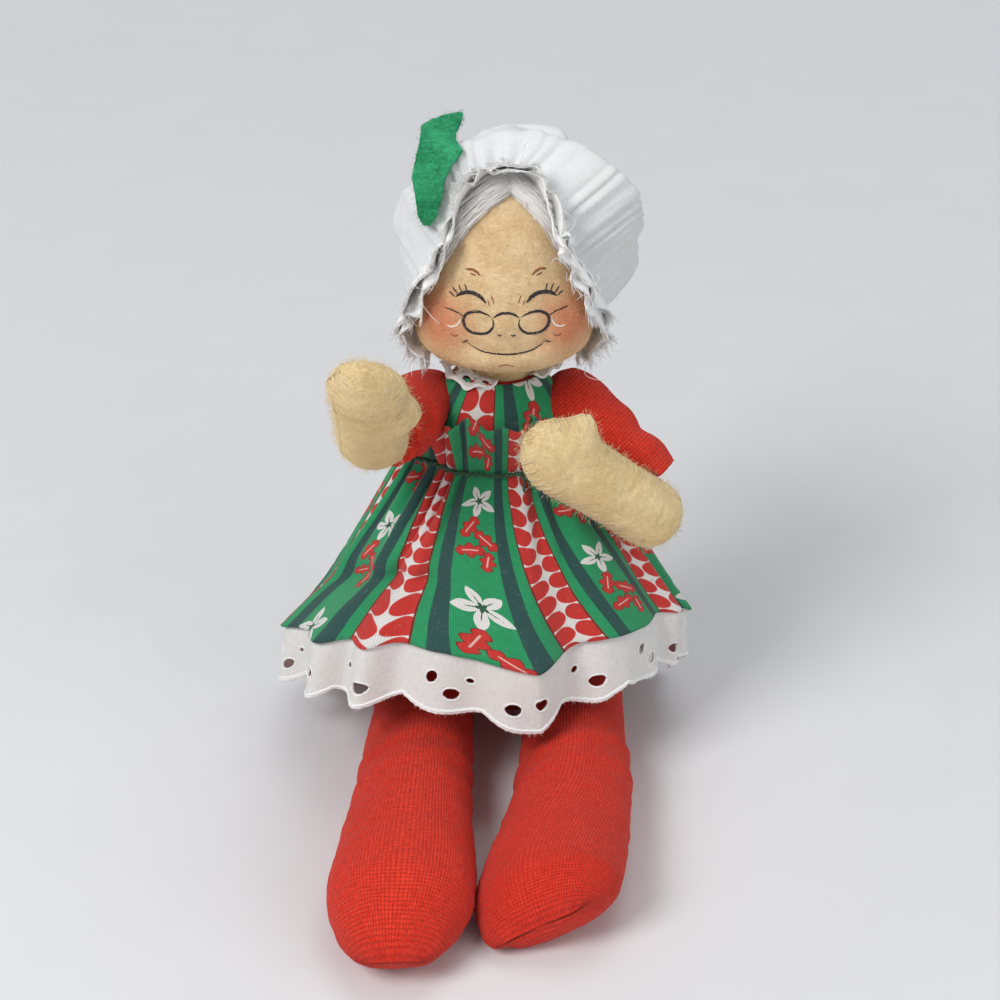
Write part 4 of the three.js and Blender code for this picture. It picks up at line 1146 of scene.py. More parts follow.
lace = {
    "flat": 275.0, "scallops": 18, "scallopDepth": 1.9, "scallopReach": 7, "edgeRadius": 0.34, "cloth": 0.35,
    "columns": 640, "rows": np.concatenate([np.linspace(0, 9, 25), [9.8, 11, 13]]),     # mm above the edge
    "upperRows": np.linspace(0.86, 0.1, 9), "upperLong": 45,
    "rim": 0.22, "rimRadius": 0.2, "fuzzPitch": 0.42, "fuzzRadius": 0.055,
    # groups of holes, one for each scallop in turn: across from its middle, up from the edge, half length,
    # half width, turn
    "groups": [
        [(-2.6, 4.3, 1.55, 1.15, 0.3), (2.6, 5.7, 1.35, 1.05, -0.6)],
        [(0.4, 4.2, 1.75, 1.2, 0.0), (-3.9, 7.0, 0.8, 0.6, 0.9)],
        [(-1.6, 7.0, 1.35, 0.95, 0.9), (2.0, 4.0, 1.5, 1.15, 0.1), (5.4, 7.2, 0.75, 0.55, 0.0)],
    ],
}
scallopWide = lace["flat"] / lace["scallops"]


def laceAngle(across):
    return across / lace["flat"] * tau + quarter


def lacePoint(across, above, inset):
    # place on the lace, in mm along its edge and above the scallops
    scallop = lace["scallopDepth"] * (1 - np.abs(np.sin(math.pi * across / scallopWide))**0.8)
    row = 2 - (above + scallop * np.clip(1 - above / lace["scallopReach"], 0, 1)) / skirt["laceDrop"]
    return petticoatPoint(row, laceAngle(across), inset)


def holePlaces():
    for scallop in range(lace["scallops"]):
        for x, y, longHalf, wideHalf, turn in lace["groups"][scallop % len(lace["groups"])]:
            moveX, moveY = dice.uniform(-0.25, 0.25, 2)
            twist = dice.uniform(-0.15, 0.15)
            yield (scallop + 0.5) * scallopWide + x + moveX, y + moveY, longHalf, wideHalf, turn + twist


def inHole(across, above, hole):
    # 1 on the hole's edge, less inside
    x, y, longHalf, wideHalf, turn = hole
    dx = (across - x + lace["flat"] / 2) % lace["flat"] - lace["flat"] / 2
    dy = above - y
    along, over = dx * math.cos(turn) + dy * math.sin(turn), dy * math.cos(turn) - dx * math.sin(turn)
    return np.sqrt((along / longHalf)**2 + (over / wideHalf)**2), dx, dy


def makePetticoat():
    across, upperRows = np.linspace(0, lace["flat"], lace["columns"] + 1), lace["upperRows"]
    width, height = np.meshgrid(across, lace["rows"])
    holes = list(holePlaces())
    # grid points next to a hole slide onto its edge, and faces inside are left out
    solid = 9.0
    clear = np.full(width.shape, solid)
    for hole in holes:
        ratio, dx, dy = inHole(width, height, hole)
        near = (ratio > 0.55) & (ratio < 1.35)
        scale = np.where(near, 1 / np.maximum(ratio, 1e-6), 1)
        width = width + np.where(near, dx * (scale - 1), 0)
        height = height + np.where(near, dy * (scale - 1), 0)
        clear = np.minimum(clear, np.where(near, 1.0, ratio))
    upper = petticoatPoint(upperRows[:, None], laceAngle(across)[None], 0.0)
    rows = np.concatenate([lacePoint(width, height, 0.0), upper])
    upperFlat = lace["rows"][-1] + (upperRows[0] - upperRows) * lace["upperLong"] + 1
    flat = np.concatenate([np.stack([width, height], -1), np.stack(np.meshgrid(across, upperFlat), -1)])
    clear = np.concatenate([clear, np.full(upper.shape[:2], solid)]).ravel()
    rows[:, -1] = rows[:, 0]
    quads = gridFaces(*rows.shape[:2])
    quads = quads[(clear[quads] > 0.98).all(1)]
    centre = flat.reshape(-1, 2)[quads].mean(1)
    keep = np.ones(len(quads), bool)
    for hole in holes:
        keep &= inHole(centre[:, 0], centre[:, 1], hole)[0] > 0.93
    petticoat = meshOf("petticoatLace", rows, quads[keep][:, ::-1], flat)
    thicken(weld(petticoat), lace["cloth"])
    dress(petticoat, eyeletCotton, "torso", "eyelet_lace", ("petticoat",))
    stitchLace(holes)


def stitchLace(holes):
    # buttonhole stitching round each hole, corded scallop edge and its loose fibres
    rims, edges, fuzz = [], [], []
    ring = np.linspace(0, tau, 17)
    for x, y, longHalf, wideHalf, turn in holes:
        along, over = (longHalf + lace["rim"]) * np.cos(ring), (wideHalf + lace["rim"]) * np.sin(ring)
        ringX = x + along * math.cos(turn) - over * math.sin(turn)
        ringY = y + along * math.sin(turn) + over * math.cos(turn)
        rims += [lacePoint(ringX, ringY, inset) for inset in (-0.12, 0.12)]
    across = np.linspace(0, lace["flat"], 800)
    for lift, inset in ((0.0, 0.0), (0.45, -0.16), (0.45, 0.16)):
        wobble = 0.07 * np.sin(across * 5.1 + lift * 9)
        edges.append(lacePoint(across, lift + wobble, inset))
    rimCord = threads("rims", rims, lace["rimRadius"], 5, 1.0)
    edgeCord = threads("edge", edges, lace["edgeRadius"], 6, 1.0)
    dress(joinPieces("laceStitching", [rimCord, edgeCord]), whiteThread, "torso", "white_thread")
    for spot in np.arange(0, lace["flat"], lace["fuzzPitch"]):
        reach, swing = dice.uniform(0.25, 0.95), dice.uniform(-0.5, 0.5, 2)
        x, y, inset = np.linspace((spot, 0.3, 0), (spot + swing[0], -reach, swing[1]), 3).T
        fuzz.append(lacePoint(x, y, inset))
    dress(threads("laceEdgeFuzz", fuzz, lace["fuzzRadius"], 3, 0.4), whiteThread, "torso", "white_thread")


makeApron()
makePetticoat()
print("skirts hung")


# bib, waist thread and lace collar
bibCut = {
    "low": 63.5, "high": 82.6, "spread": 80.0, "neckDip": 0.5, "neckAt": 0.52, "armDip": 0.14,
    "off": 0.75, "cloth": 0.45, "radius": 14, "printStart": (142, 86), "grid": (34, 70),
}


def makeBib():
    rows, columns = bibCut["grid"]
    u, v = np.meshgrid(np.linspace(0, 1, columns), np.linspace(0, 1, rows))
    spread = math.radians(bibCut["spread"]) * (1 - bibCut["armDip"] * np.sin(math.pi * v * 0.8))
    angle = -quarter + spread * (2 * u - 1)
    top = bibCut["high"] - bibCut["neckDip"] * hump(u, bibCut["neckAt"], 0.2)
    height = mix(bibCut["low"], top, v)
    laid = np.stack([angle * bibCut["radius"], height, height * 0], -1).reshape(-1, 3)
    crease = 0.16 * np.sin(angle * 9 + height * 0.4) * (1 - v) + 0.12 * lumps(laid, 6, 90).reshape(u.shape)
    startX, startY = bibCut["printStart"]
    flat = np.stack([(angle + quarter) * bibCut["radius"] + startX, startY - height], -1)
    points = torsoPoint(height, angle, bibCut["off"] + crease)
    bib = meshOf("bibPanel", points, gridFaces(rows, columns), flat)
    thicken(bib, bibCut["cloth"])
    dress(bib, hollyPrint, "torso", "holly_print", ("bib",))


waistCut = {
    "steps": 900, "turns": 46, "off": 0.62, "ply": 0.26, "radius": 0.27,
    "knotAt": -1.35, "knotOff": 0.9, "ends": ((2.4, -0.6, -1.8), (1.0, -1.2, -3.0)), "curl": (0.3, -0.2, 0.2),
}


def makeWaistThread():
    # two plies twisted round each other, with a knot's loose ends in front
    angle = np.linspace(0, tau, waistCut["steps"]) - quarter
    uneven = 0.35 * np.sin(5 * angle + 1) + 0.2 * np.sin(13 * angle)
    plies = []
    for phase in (0, math.pi):
        twist = angle * waistCut["turns"] + phase
        line = skirtPoint(0, angle, -(waistCut["off"] + waistCut["ply"] * np.cos(twist)))
        line[:, 2] += waistCut["ply"] * np.sin(twist) + uneven
        plies.append(line)
    start = skirtPoint(0, waistCut["knotAt"], -waistCut["knotOff"])
    t = np.linspace(0, 1, 8)[:, None]
    for way in waistCut["ends"]:
        plies.append(start + t * np.array(way) + np.sin(t * 5) * np.array(waistCut["curl"]))
    thread = threads("waistTwist", plies, waistCut["radius"], 6, 0.8)
    dress(thread, greenThread, "torso", "green_thread", ("waist_thread",))


collarCut = {
    "middle": 3, "inner": 6.9, "wide": 5.2, "waves": 14, "bed": 82.7, "grid": (14, 337), "cloth": 0.3,
    "frontAt": -72.0, "frontSpan": 62.0, "frontCut": 0.97, "least": 0.2,  # narrows to nothing under the chin
    "wave": 0.55, "scallop": 0.7, "hang": 4.6, "rise": 0.6, "edgeRadius": 0.2, "radius": 10, "flatWide": 6,
}


def collarWidth(angle):
    return 1 - collarCut["frontCut"] * bell(angle, collarCut["frontAt"], collarCut["frontSpan"])


def collarPoint(out, angle, lift=0.0):
    wave = collarCut["wave"] * out * np.sin(collarCut["waves"] * angle)
    scallop = collarCut["scallop"] * np.abs(np.cos(collarCut["waves"] * angle / 2))
    narrow = collarWidth(angle)
    # hangs down in front and behind
    drape = collarCut["hang"] * out**2 * np.abs(np.sin(angle))**1.5 * narrow
    reach = collarCut["inner"] + out * (collarCut["wide"] + scallop * smooth(out, 0.5, 1)) * narrow
    height = collarCut["bed"] + collarCut["rise"] * out + wave + lift - drape
    return np.stack([collarCut["middle"] + reach * np.cos(angle), reach * np.sin(angle), height], -1)


def makeCollar():
    rows, columns = collarCut["grid"]
    angle, out = np.meshgrid(np.linspace(0, tau, columns), np.linspace(0, 1, rows))
    points = collarPoint(out, angle)
    points[:, -1] = points[:, 0]
    quads = gridFaces(rows, columns)
    around, outward = np.stack([angle, out], -1).reshape(-1, 2)[quads].mean(1).T
    turn = (around * collarCut["waves"] / tau) % 1 - 0.5
    eyelet = np.hypot(turn / 0.17, (outward - 0.62) / 0.16) < 1
    pins = np.hypot((np.abs(turn) - 0.36) / 0.07, (outward - 0.35) / 0.09) < 1
    cut = eyelet | pins | (collarWidth(around) < collarCut["least"])
    flat = np.stack([angle * collarCut["radius"], out * collarCut["flatWide"]], -1)
    collar = meshOf("laceCollar", points, quads[~cut], flat)
    thicken(weld(collar), collarCut["cloth"])
    dress(collar, eyeletCotton, "torso", "eyelet_lace", ("lace_collar",))
    front = math.radians(collarCut["frontAt"])
    ring = np.sort((np.linspace(0, tau, 480) - quarter - front) % tau) + front
    ring = ring[collarWidth(ring) > collarCut["least"]]
    lines = [collarPoint(np.ones(len(ring)), ring), collarPoint(np.full(len(ring), 0.93), ring, 0.15)]
    edge = threads("collarEdge", lines, collarCut["edgeRadius"], 5, 1.0)
    dress(edge, whiteThread, "torso", "white_thread")


makeBib()
makeWaistThread()
makeCollar()
print("bodice dressed")


# neck, head and painted face
neckCut = {
    "middle": 3, "sides": 40, "girth": 5 * tau, "low": 77.5, "high": 95.5, "rows": 30,
    "sizes": throughKeys([
        (77.5, 3.0), (79, 5.0), (81, 5.8), (83, 5.9), (85, 5.4), (88, 5.1), (93, 5.0), (95.5, 4.6),
    ]),
}


def makeNeck():
    angle = anglesOf(neckCut["sides"])
    heights = np.linspace(neckCut["low"], neckCut["high"], neckCut["rows"])
    size = neckCut["sizes"](heights)
    rings = np.stack([
        neckCut["middle"] + size * np.cos(angle),
        size * np.sin(angle),
        heights[:, None] + 0 * angle,
    ], -1)
    neck = closedLoft("neckStem", rings, flatRings(neckCut["sides"], neckCut["girth"], heights))
    pushOut(neck, 0.12 * lumps(pointsOf(neck), 4, 33))
    dress(neck, mittFelt, "neck", "tan_felt", ("neck",))


glueCut = {"from": -2.5, "to": -1.2, "out": 7.4, "height": 86.3, "sides": 14, "rows": 30}


def makeGlue():
    # old glue squeezed out under the chin
    sides, rows = glueCut["sides"], glueCut["rows"]
    around = np.linspace(0, tau, sides + 1)[:-1]
    turn, ring = np.meshgrid(around, np.linspace(glueCut["from"], glueCut["to"], rows))
    bead = 0.75 + 0.25 * np.sin(ring * 9) + 0.12 * np.sin(ring * 21)
    reach = glueCut["out"] + bead * np.cos(turn)
    height = glueCut["height"] + 0.2 * np.sin(ring * 13) + bead * np.sin(turn)
    beads = np.stack([neckCut["middle"] + reach * np.cos(ring), reach * np.sin(ring), height], -1)
    glue = closedLoft("driedGlueBead", beads, np.zeros((rows, sides + 1, 2)))
    dress(glue, driedGlue, "neck", "tan_felt")


headShape = {
    "base": 87.0, "tall": 37.0, "middle": 3.0, "sides": 128, "girth": 16 * tau,
    "nose": (3.2, 100.0, 1.1), "cheeks": (11.5, 97.5, 0.9), "smile": (94.4, 8, 0.5),
    "pinned": 88, "seamAt": -2,
    # share of the height, half width, half depth, middle along y
    "sizes": throughKeys([
        [0.0, 8, 8, -4], [0.07, 13.8, 13.1, -4.6], [0.22, 17.2, 16, -4.4], [0.42, 16.7, 16, -4],
        [0.64, 13.5, 15.0, -2.4], [0.85, 10.1, 10.9, -0.8], [1.0, 2.7, 2.6, 0],
    ]),
}


def faceRelief(points):
    x, y, z = points.T
    away = x - headShape["middle"]
    noseX, noseZ, noseOut = headShape["nose"]
    cheekX, cheekZ, cheekOut = headShape["cheeks"]
    smileZ, smileReach, smileDepth = headShape["smile"]
    nose = noseOut * np.exp(-((x - noseX) / 2.6)**2 - ((z - noseZ) / 2.4)**2)
    cheeks = cheekOut * np.exp(-((np.abs(away) - cheekX) / 4.5)**2 - ((z - cheekZ) / 4.5)**2)
    smile = smileDepth * hump(z - 0.03 * away**2, smileZ, 1.1) * (np.abs(away) < smileReach)
    return (nose + cheeks - smile) * smooth(-y, 8, 14)


def makeHead():
    angle = anglesOf(headShape["sides"])
    shares = np.concatenate([[0, 0.012, 0.028], np.linspace(0.045, 0.97, 70), [0.985, 1]])
    size = headShape["sizes"](shares)
    rings = np.stack([
        headShape["middle"] + size[:, :1] * np.cos(angle),
        size[:, 2:] + size[:, 1:2] * np.sin(angle),
        headShape["base"] + headShape["tall"] * shares[:, None] + 0 * angle,
    ], -1)
    flat = flatRings(headShape["sides"], headShape["girth"], shares * headShape["tall"])
    head = closedLoft("headBag", rings, flat)
    points = pointsOf(head)
    seam = np.abs(points[:, 1] - headShape["seamAt"]) < 0.6
    puff(head, (points[:, 2] < headShape["pinned"]) | seam, 3.0, 0.3)
    points = pointsOf(head)
    pushOut(head, faceRelief(points) + 0.16 * lumps(points, 7, 51) + 0.07 * lumps(points, 2.2, 52))
    dress(head, headFelt, "head", "tan_felt", ("head",))
    return head


# face strokes: colour, thickness, line of (across from the middle, height);
# each is mirrored unless it crosses the middle
faceCut = {"middle": 3.3, "step": 0.2, "sunk": 0.3, "wobble": 0.03}
faceStrokes = [
    ("ink", 0.42, [(3.6, 104.3), (4.8, 105.5), (6.4, 105.9), (8.0, 105.5), (9.3, 104.6)]),# closed eye
    ("ink", 0.17, [(8.0, 105.6), (8.7, 106.9)]),                                          # lashes
    ("ink", 0.17, [(8.8, 105.1), (9.8, 106.2)]),
    ("ink", 0.16, [(7.1, 105.9), (7.5, 107.2)]),
    ("ink", 0.16, [(9.3, 104.6), (10.5, 105.3)]),
    ("ink", 0.33, [                                                                       # spectacle rim
        (2.6, 101.9), (2.3, 100.9), (2.7, 99.7), (3.8, 98.8), (5.3, 98.6), (6.8, 99.0), (7.7, 100.1),
        (7.8, 101.2), (7.0, 102.2), (5.5, 102.7), (3.9, 102.5), (2.6, 101.9),
    ]),
    ("ink", 0.27, [(-2.5, 101.8), (-1.2, 102.6), (0, 102.8), (1.2, 102.6), (2.5, 101.8)]),# bridge
    ("ink", 0.16, [(7.7, 101.6), (9.6, 102.2), (11.6, 102.4)]),                           # side piece
    ("brown", 0.26, [(4.6, 108.9), (5.9, 109.7), (7.4, 109.5)]),                          # brow
    ("brown", 0.18, [(5.4, 108.8), (6.6, 109.1)]),
    ("brown", 0.14, [(2.2, 104.3), (2.7, 105.9)]),                                        # lines by the nose
    ("brown", 0.12, [(3.0, 103.9), (3.4, 105.0)]),
    ("ink", 0.18, [(0.8, 98.9), (1.3, 98.6), (1.7, 98.9)]),                               # nostril
    ("ink", 0.2, [                                                                        # smile
        (-7.3, 96.6), (-5.4, 95.3), (-2.8, 94.6), (0, 94.4), (2.8, 94.6), (5.4, 95.3), (7.3, 96.6),
    ]),
    ("ink", 0.16, [(7.0, 97.2), (7.5, 96.6), (8.3, 96.4)]),
    ("brown", 0.17, [(-1.6, 91.9), (0, 92.4), (1.6, 91.9)]),                              # chin
    ("brown", 0.15, [(8.6, 98.0), (9.5, 97.5), (10.3, 97.9)]),
    ("white", 0.18, [(8.3, 101.0), (8.9, 99.8), (10.0, 99.2), (10.9, 99.3)]),             # gleam on the cheek
]


def paintFace(head):
    skin = surfaceOf(head)
    lines = {colour: [] for colour in facePaint}
    sizes = {colour: [] for colour in facePaint}
    for colour, thickness, keys in faceStrokes:
        keys = np.array(keys, float)
        crosses = keys[0, 0] < 0 < keys[-1, 0]
        reach = lengthAlong(keys)
        for mirror in ((1,) if crosses else (1, -1)):
            curve = throughKeys(np.column_stack([reach, keys[:, 0] * mirror, keys[:, 1]]))
            line = []
            for x, z in curve(np.linspace(0, reach[-1], max(5, int(reach[-1] / faceCut["step"])))):
                hit, normal, *_ = skin.ray_cast(Vector((faceCut["middle"] + x, -60, z)), Vector((0, 1, 0)))
                wobble = dice.normal(0, faceCut["wobble"], 3) * (1, 0, 1)
                line.append(np.array(hit) - np.array(normal) * thickness * faceCut["sunk"] + wobble)
            lines[colour].append(line)
            sizes[colour].append(thickness)
    for colour, material in facePaint.items():
        stroke = threads("face" + colour.capitalize(), lines[colour], sizes[colour], 6, 0.3)
        dress(stroke, material, "head", "tan_felt")


# number of loose fibres and their reach
fuzzCut = {"head": (4200, 0.9), "mitt": (2600, 1.3), "leaf": (2600, 0.7), "radius": 0.03}


def fuzzOn(piece, name, count, reach, material, body, slotName, keep=None):
    # loose felt fibres that stand off the surface
    points, normals = pointsOf(piece), normalsOf(piece)
    chosen = np.arange(len(points)) if keep is None else np.flatnonzero(keep(points))
    spots = dice.choice(chosen, count)
    lines = []
    for start, out in zip(points[spots], normals[spots]):
        swing = unit(dice.normal(size=3))
        way = unit(out * dice.uniform(0.25, 0.9) + swing * 0.7)
        length = reach * dice.uniform(0.4, 1.3)
        curl = np.cross(out, swing) * length * 0.35
        start = start + dice.normal(0, 0.25, 3) - out * 0.1
        middle = start + way * length * 0.5 + curl * 0.5
        lines.append([start, middle, start + way * length + curl * dice.uniform(0, 1.2)])
    dress(threads(name, lines, fuzzCut["radius"], 3, 0.35), material, body, slotName)


def onFace(points):
    return (points[:, 1] < -1) & (points[:, 2] < 121)


makeNeck()
makeGlue()
headPiece = makeHead()
paintFace(headPiece)
fuzzOn(headPiece, "headFuzz", *fuzzCut["head"], tanFibre, "head", "tan_felt", onFace)
for side, mitt in mittPieces.items():
    fuzzOn(mitt, side + "MittFuzz", *fuzzCut["mitt"], tanFibre, side + "_forearm", "tan_felt")
print("head painted")


# mob cap, frill, hair and leaf
capLean = math.radians(28)
capFrame = limbFrame((3, -3, 105.5), (0, math.cos(capLean), math.sin(capLean)), (-1, 0, 0))
capCut = {
    "depth": 24.0, "round": 9.0, "boxy": 2.6, "off": 0.55, "cloth": 0.35, "radius": 19, "columns": 288,
    "pleats": 40, "pleatDepth": 0.85, "topBack": 9.0, "topSpan": 0.6, "behind": 1.6, "sideForward": 5.0,
    "lower": (2.2, 5.2, 6.5),                               # room for folds: all round, sides, top
    "panels": (20, 11.0, 3.6), "wrinkles": (70, 5.0, 1.2),  # number, size of a ridge, depth
    "heart": (-2.0, 0.0, 12.0),                             # folds stand out from here
    # distance from the opening, half width, half depth, middle across
    "sizes": throughKeys([[0, 18.2, 22, 0], [7.2, 21.7, 20, -3], [15.6, 20.3, 16, -3], [24, 14.6, 12, -3]]),
}
frillCut = {
    "long": 7.5, "topShort": 3.4, "off": 1.5, "topOff": 1.6, "puff": 0.5, "flare": 1.7, "cloth": 0.3,
    "waves": 17, "waveDepth": 2.3, "slide": 0.55, "layerGap": 0.9, "ends": math.radians(44),
    "grid": (16, 420), "frayPitch": 0.0105, "strays": 14, "threadRadius": 0.07, "gatherRadius": 0.28,
    "flatWide": 6, "flatGap": 10,
}
capLong = capCut["depth"] + capCut["round"]
headSkin = surfaceOf(headPiece)


def onHead(points, off):
    found = [headSkin.find_nearest(Vector(point)) for point in np.asarray(points).reshape(-1, 3)]
    spots, normals = np.array([f[0][:] for f in found]), np.array([f[1][:] for f in found])
    return (spots + normals * off).reshape(np.shape(points)), normals.reshape(np.shape(points))


def squared(value):
    return np.sign(value) * np.abs(value)**(2 / capCut["boxy"])


def capPoint(along, angle, grow=0.0):
    along, angle, grow = arrays(along, angle, grow)
    past = np.maximum(0, along - capCut["depth"])
    shrink = np.sqrt(np.maximum(0, 1 - (past / capCut["round"])**2))
    size = capCut["sizes"](np.clip(along, 0, capCut["depth"]).ravel()).reshape(*along.shape, 3)
    width = (size[..., 0] + grow) * shrink * squared(np.cos(angle)) + size[..., 2]
    deep = (size[..., 1] + grow) * shrink * squared(np.sin(angle))
    return inFrame(capFrame, width, deep, along)


def topOf(angle):
    return hump(angle, quarter, capCut["topSpan"])


def evened(line):
    # evens out the steps between the head's faces, round a closed line
    reach = 24
    window = np.hanning(2 * reach + 1)
    ring = np.vstack([line[-reach - 1:-1], line, line[1:reach + 1]])
    return np.stack([np.convolve(axis, window / window.sum(), "valid") for axis in ring.T], -1)


def layOpening():
    # the gathered line lies on the head, further back over the forehead; the frill falls forward from it
    angle = np.linspace(-quarter, 3 * quarter, 721)
    top = topOf(angle)[:, None]
    side = smooth(np.abs(np.cos(angle)), 0.3, 0.85)[:, None]
    back = capCut["topBack"] * top - capCut["sideForward"] * side - 0.4
    base, normal = onHead(capPoint(0, angle) + back * capFrame["run"], capCut["off"])
    length = frillCut["long"] - frillCut["topShort"] * top
    edge, out = onHead(base - length * capFrame["run"], frillCut["off"])
    edge = edge + out * frillCut["topOff"] * top
    return {"angle": angle, "base": evened(base), "normal": unit(evened(normal)), "edge": evened(edge)}


opening = layOpening()


def onOpening(name, angle):
    wrapped = (np.asarray(angle, float) + quarter) % tau - quarter
    return np.stack([np.interp(wrapped, opening["angle"], axis) for axis in opening[name].T], -1)


def crumple(points, count, size, depth):
    # crisp folded cotton: flat panels that meet in sharp ridges
    spread = np.random.default_rng(7 + count)
    seeds = crownPoint(spread.uniform(0, 27, count), spread.uniform(-1.57, 4.71, count))
    away = np.linalg.norm(points[..., None, :] - seeds, axis=-1)
    away = np.partition(away, 1, axis=-1)
    return depth * (1 - np.clip((away[..., 1] - away[..., 0]) / size, 0, 1))


def crownPoint(along, angle):
    bulge = smooth(along, 0, 5.5)**0.75
    back = (capCut["topBack"] * topOf(angle) + capCut["behind"]) * (1 - along / capLong)
    allRound, sides, top = capCut["lower"]
    slump = (allRound + sides * np.cos(angle)**2) * smooth(along, 3, 12) * (1 - 0.3 * smooth(along, 20, 30))
    slump = slump + top * bowl(np.sin(angle), 2) * smooth(along, 6, 20)
    placed = capPoint(along + back, angle, -slump)
    return mix(onOpening("base", angle), placed, bulge[..., None])


def makeCrown():
    columns, depth = capCut["columns"], capCut["depth"]
    roundedEnd = depth + capCut["round"] * np.sin(np.linspace(0.06, 1.5, 18))
    along = np.concatenate([np.linspace(0, depth, 52), roundedEnd])
    a, t = np.meshgrid(np.linspace(0, tau, columns + 1) - quarter, along)
    points = crownPoint(t, a)
    fold = crumple(points, *capCut["panels"]) + crumple(points, *capCut["wrinkles"])
    fold = fold * smooth(t, 0.5, 7) * (1 - 0.4 * smooth(t, 13, depth)) * (1 - smooth(t, 26, capLong))
    uneven = a + 0.12 * np.sin(4 * a + 1) + 0.06 * np.sin(11 * a)
    saw = np.abs((uneven * capCut["pleats"] / tau) % 1 - 0.5) * 4 - 1
    lift = fold + capCut["pleatDepth"] * saw * np.exp(-t / 4.5) * smooth(t, 0, 1.5)
    points = points + unit(points - inFrame(capFrame, *capCut["heart"])) * lift[..., None]
    points[:, -1] = points[:, 0]
    faces = gridFaces(*t.shape).tolist()
    pole = t.size
    last = pole - columns - 1
    faces += [[pole, last + i + 1, last + i] for i in range(columns)]
    flat = np.stack([a * capCut["radius"], t], -1).reshape(-1, 2)
    points = np.vstack([points.reshape(-1, 3), points[-1].mean(0)])
    crown = meshOf("capCrown", points, faces, np.vstack([flat, [0, capLong + 1]]))
    thicken(weld(crown), capCut["cloth"])
    dress(crown, whiteCotton, "head", "white_cotton", ("cap_crown",))
    return crown


def frillPoint(out, angle, layer=0, lift=0.0):
    out, angle = arrays(out, angle)
    uneven = angle + 0.10 * np.sin(5 * angle + layer * 2) + 0.05 * np.sin(13 * angle + 1)
    wave = 0.5 + 0.5 * np.cos(frillCut["waves"] * uneven + layer * 2.6)
    wide = out * (1 - 0.2 * layer) * (1 + 0.13 * np.sin(9 * angle + layer) + 0.08 * np.sin(23 * angle))
    base, edge = onOpening("base", angle), onOpening("edge", angle)
    rise = frillCut["puff"] * np.sin(np.minimum(out, 1) * math.pi) + frillCut["layerGap"] * layer * out + lift
    flare = frillCut["flare"] * bowl(np.sin(angle), 1)
    rise = rise + (flare + frillCut["waveDepth"] * wave) * out**1.2
    slide = frillCut["slide"] * np.sin(frillCut["waves"] * uneven + layer + 1) * out
    along = unit(onOpening("base", angle + 0.06) - base)
    point = base + (edge - base) * wide[..., None] + onOpening("normal", angle) * rise[..., None]
    return point + along * slide[..., None]


def frayOf(angle, layer):
    # short threads of the raw edge, two at each place
    steps = np.array([0, 0.5, 1])
    for spot in np.repeat(np.arange(angle[0], angle[-1], frillCut["frayPitch"]), 2):
        reach, swing = dice.uniform(0, 1)**2 * 0.4, dice.normal(0, 0.035)
        lift, where = abs(dice.normal(0.25, 0.4)), spot + dice.normal(0, 0.006)
        yield frillPoint(0.93 + (reach + 0.07) * steps, where + swing * steps, layer, lift * steps**2)


def straysOf(angle, layer):
    # a few long threads that have come loose
    t = np.linspace(0, 1, 9)[:, None]
    for spot in dice.uniform(angle[0], angle[-1], frillCut["strays"]):
        way = unit(dice.normal(size=3) + np.array([0, -0.5, -0.2])) * dice.uniform(2.5, 6.0)
        curl = dice.normal(0, 0.9, 3)
        yield frillPoint(1.0, spot, layer) + way * t + curl * np.sin(t * math.pi)


def makeFrill():
    layers, fray, strays = [], [], []
    rows, columns = frillCut["grid"]
    angle = np.linspace(-frillCut["ends"], math.pi + frillCut["ends"], columns)
    a, out = np.meshgrid(angle, np.linspace(0, 1, rows))
    for layer in (0, 1):
        points = frillPoint(out, a, layer)
        bumps = 0.3 * lumps(points.reshape(-1, 3), 3.2, 61 + layer).reshape(a.shape) * out
        points = points + bumps[..., None] * onOpening("normal", a)
        flat = np.stack([a * capCut["radius"], out * frillCut["flatWide"] + layer * frillCut["flatGap"]], -1)
        layers.append(meshOf("frill", points, gridFaces(rows, columns), flat))
        fray += frayOf(angle, layer)
        strays += straysOf(angle, layer)
    frill = joinPieces("capFrill", layers)
    thicken(frill, frillCut["cloth"])
    # the frill takes the brighter, painted-light copy of the white cotton
    dress(frill, frillCottonPaintedBright, "head", "white_cotton", ("cap_frill",))
    radius = frillCut["threadRadius"]
    loose = [threads("fray", fray, radius, 3, 0.5), threads("strays", strays, radius, 4, 0.6)]
    dress(joinPieces("frillFray", loose), whiteThread, "head", "white_thread")
    return frill


def makeGather():
    ring = np.linspace(0, tau, 600)
    line = onOpening("base", ring) + (0.45 + 0.15 * np.sin(ring * 40))[:, None] * onOpening("normal", ring)
    gather = threads("capGather", [line], frillCut["gatherRadius"], 6, 1.0)
    dress(gather, whiteThread, "head", "white_thread", ("cap_thread",))


hairCut = {
    "apex": (4, -7.5, 120.8), "strands": 2600, "wisps": 45, "thick": 0.085, "loft": 1.5, "spread": (16, 70),
    "bedGrid": (16, 22), "bed": 0.3, "knots": 10,
}


def hairLine(side, w, t, loft):
    # from the parting at the top of the forehead down to where the frill covers it
    start = mix(onOpening("base", quarter), np.array(hairCut["apex"]), w)
    bearing = quarter + side * math.radians(mix(*hairCut["spread"], w))
    end = onOpening("base", bearing) - 3.5 * w * capFrame["run"]
    middle = mix(start, end, 0.5) + np.array([0, -0.8, 1.2])
    line = (1 - t)**2 * start + 2 * t * (1 - t) * middle + t**2 * end
    return onHead(line, loft)[0]


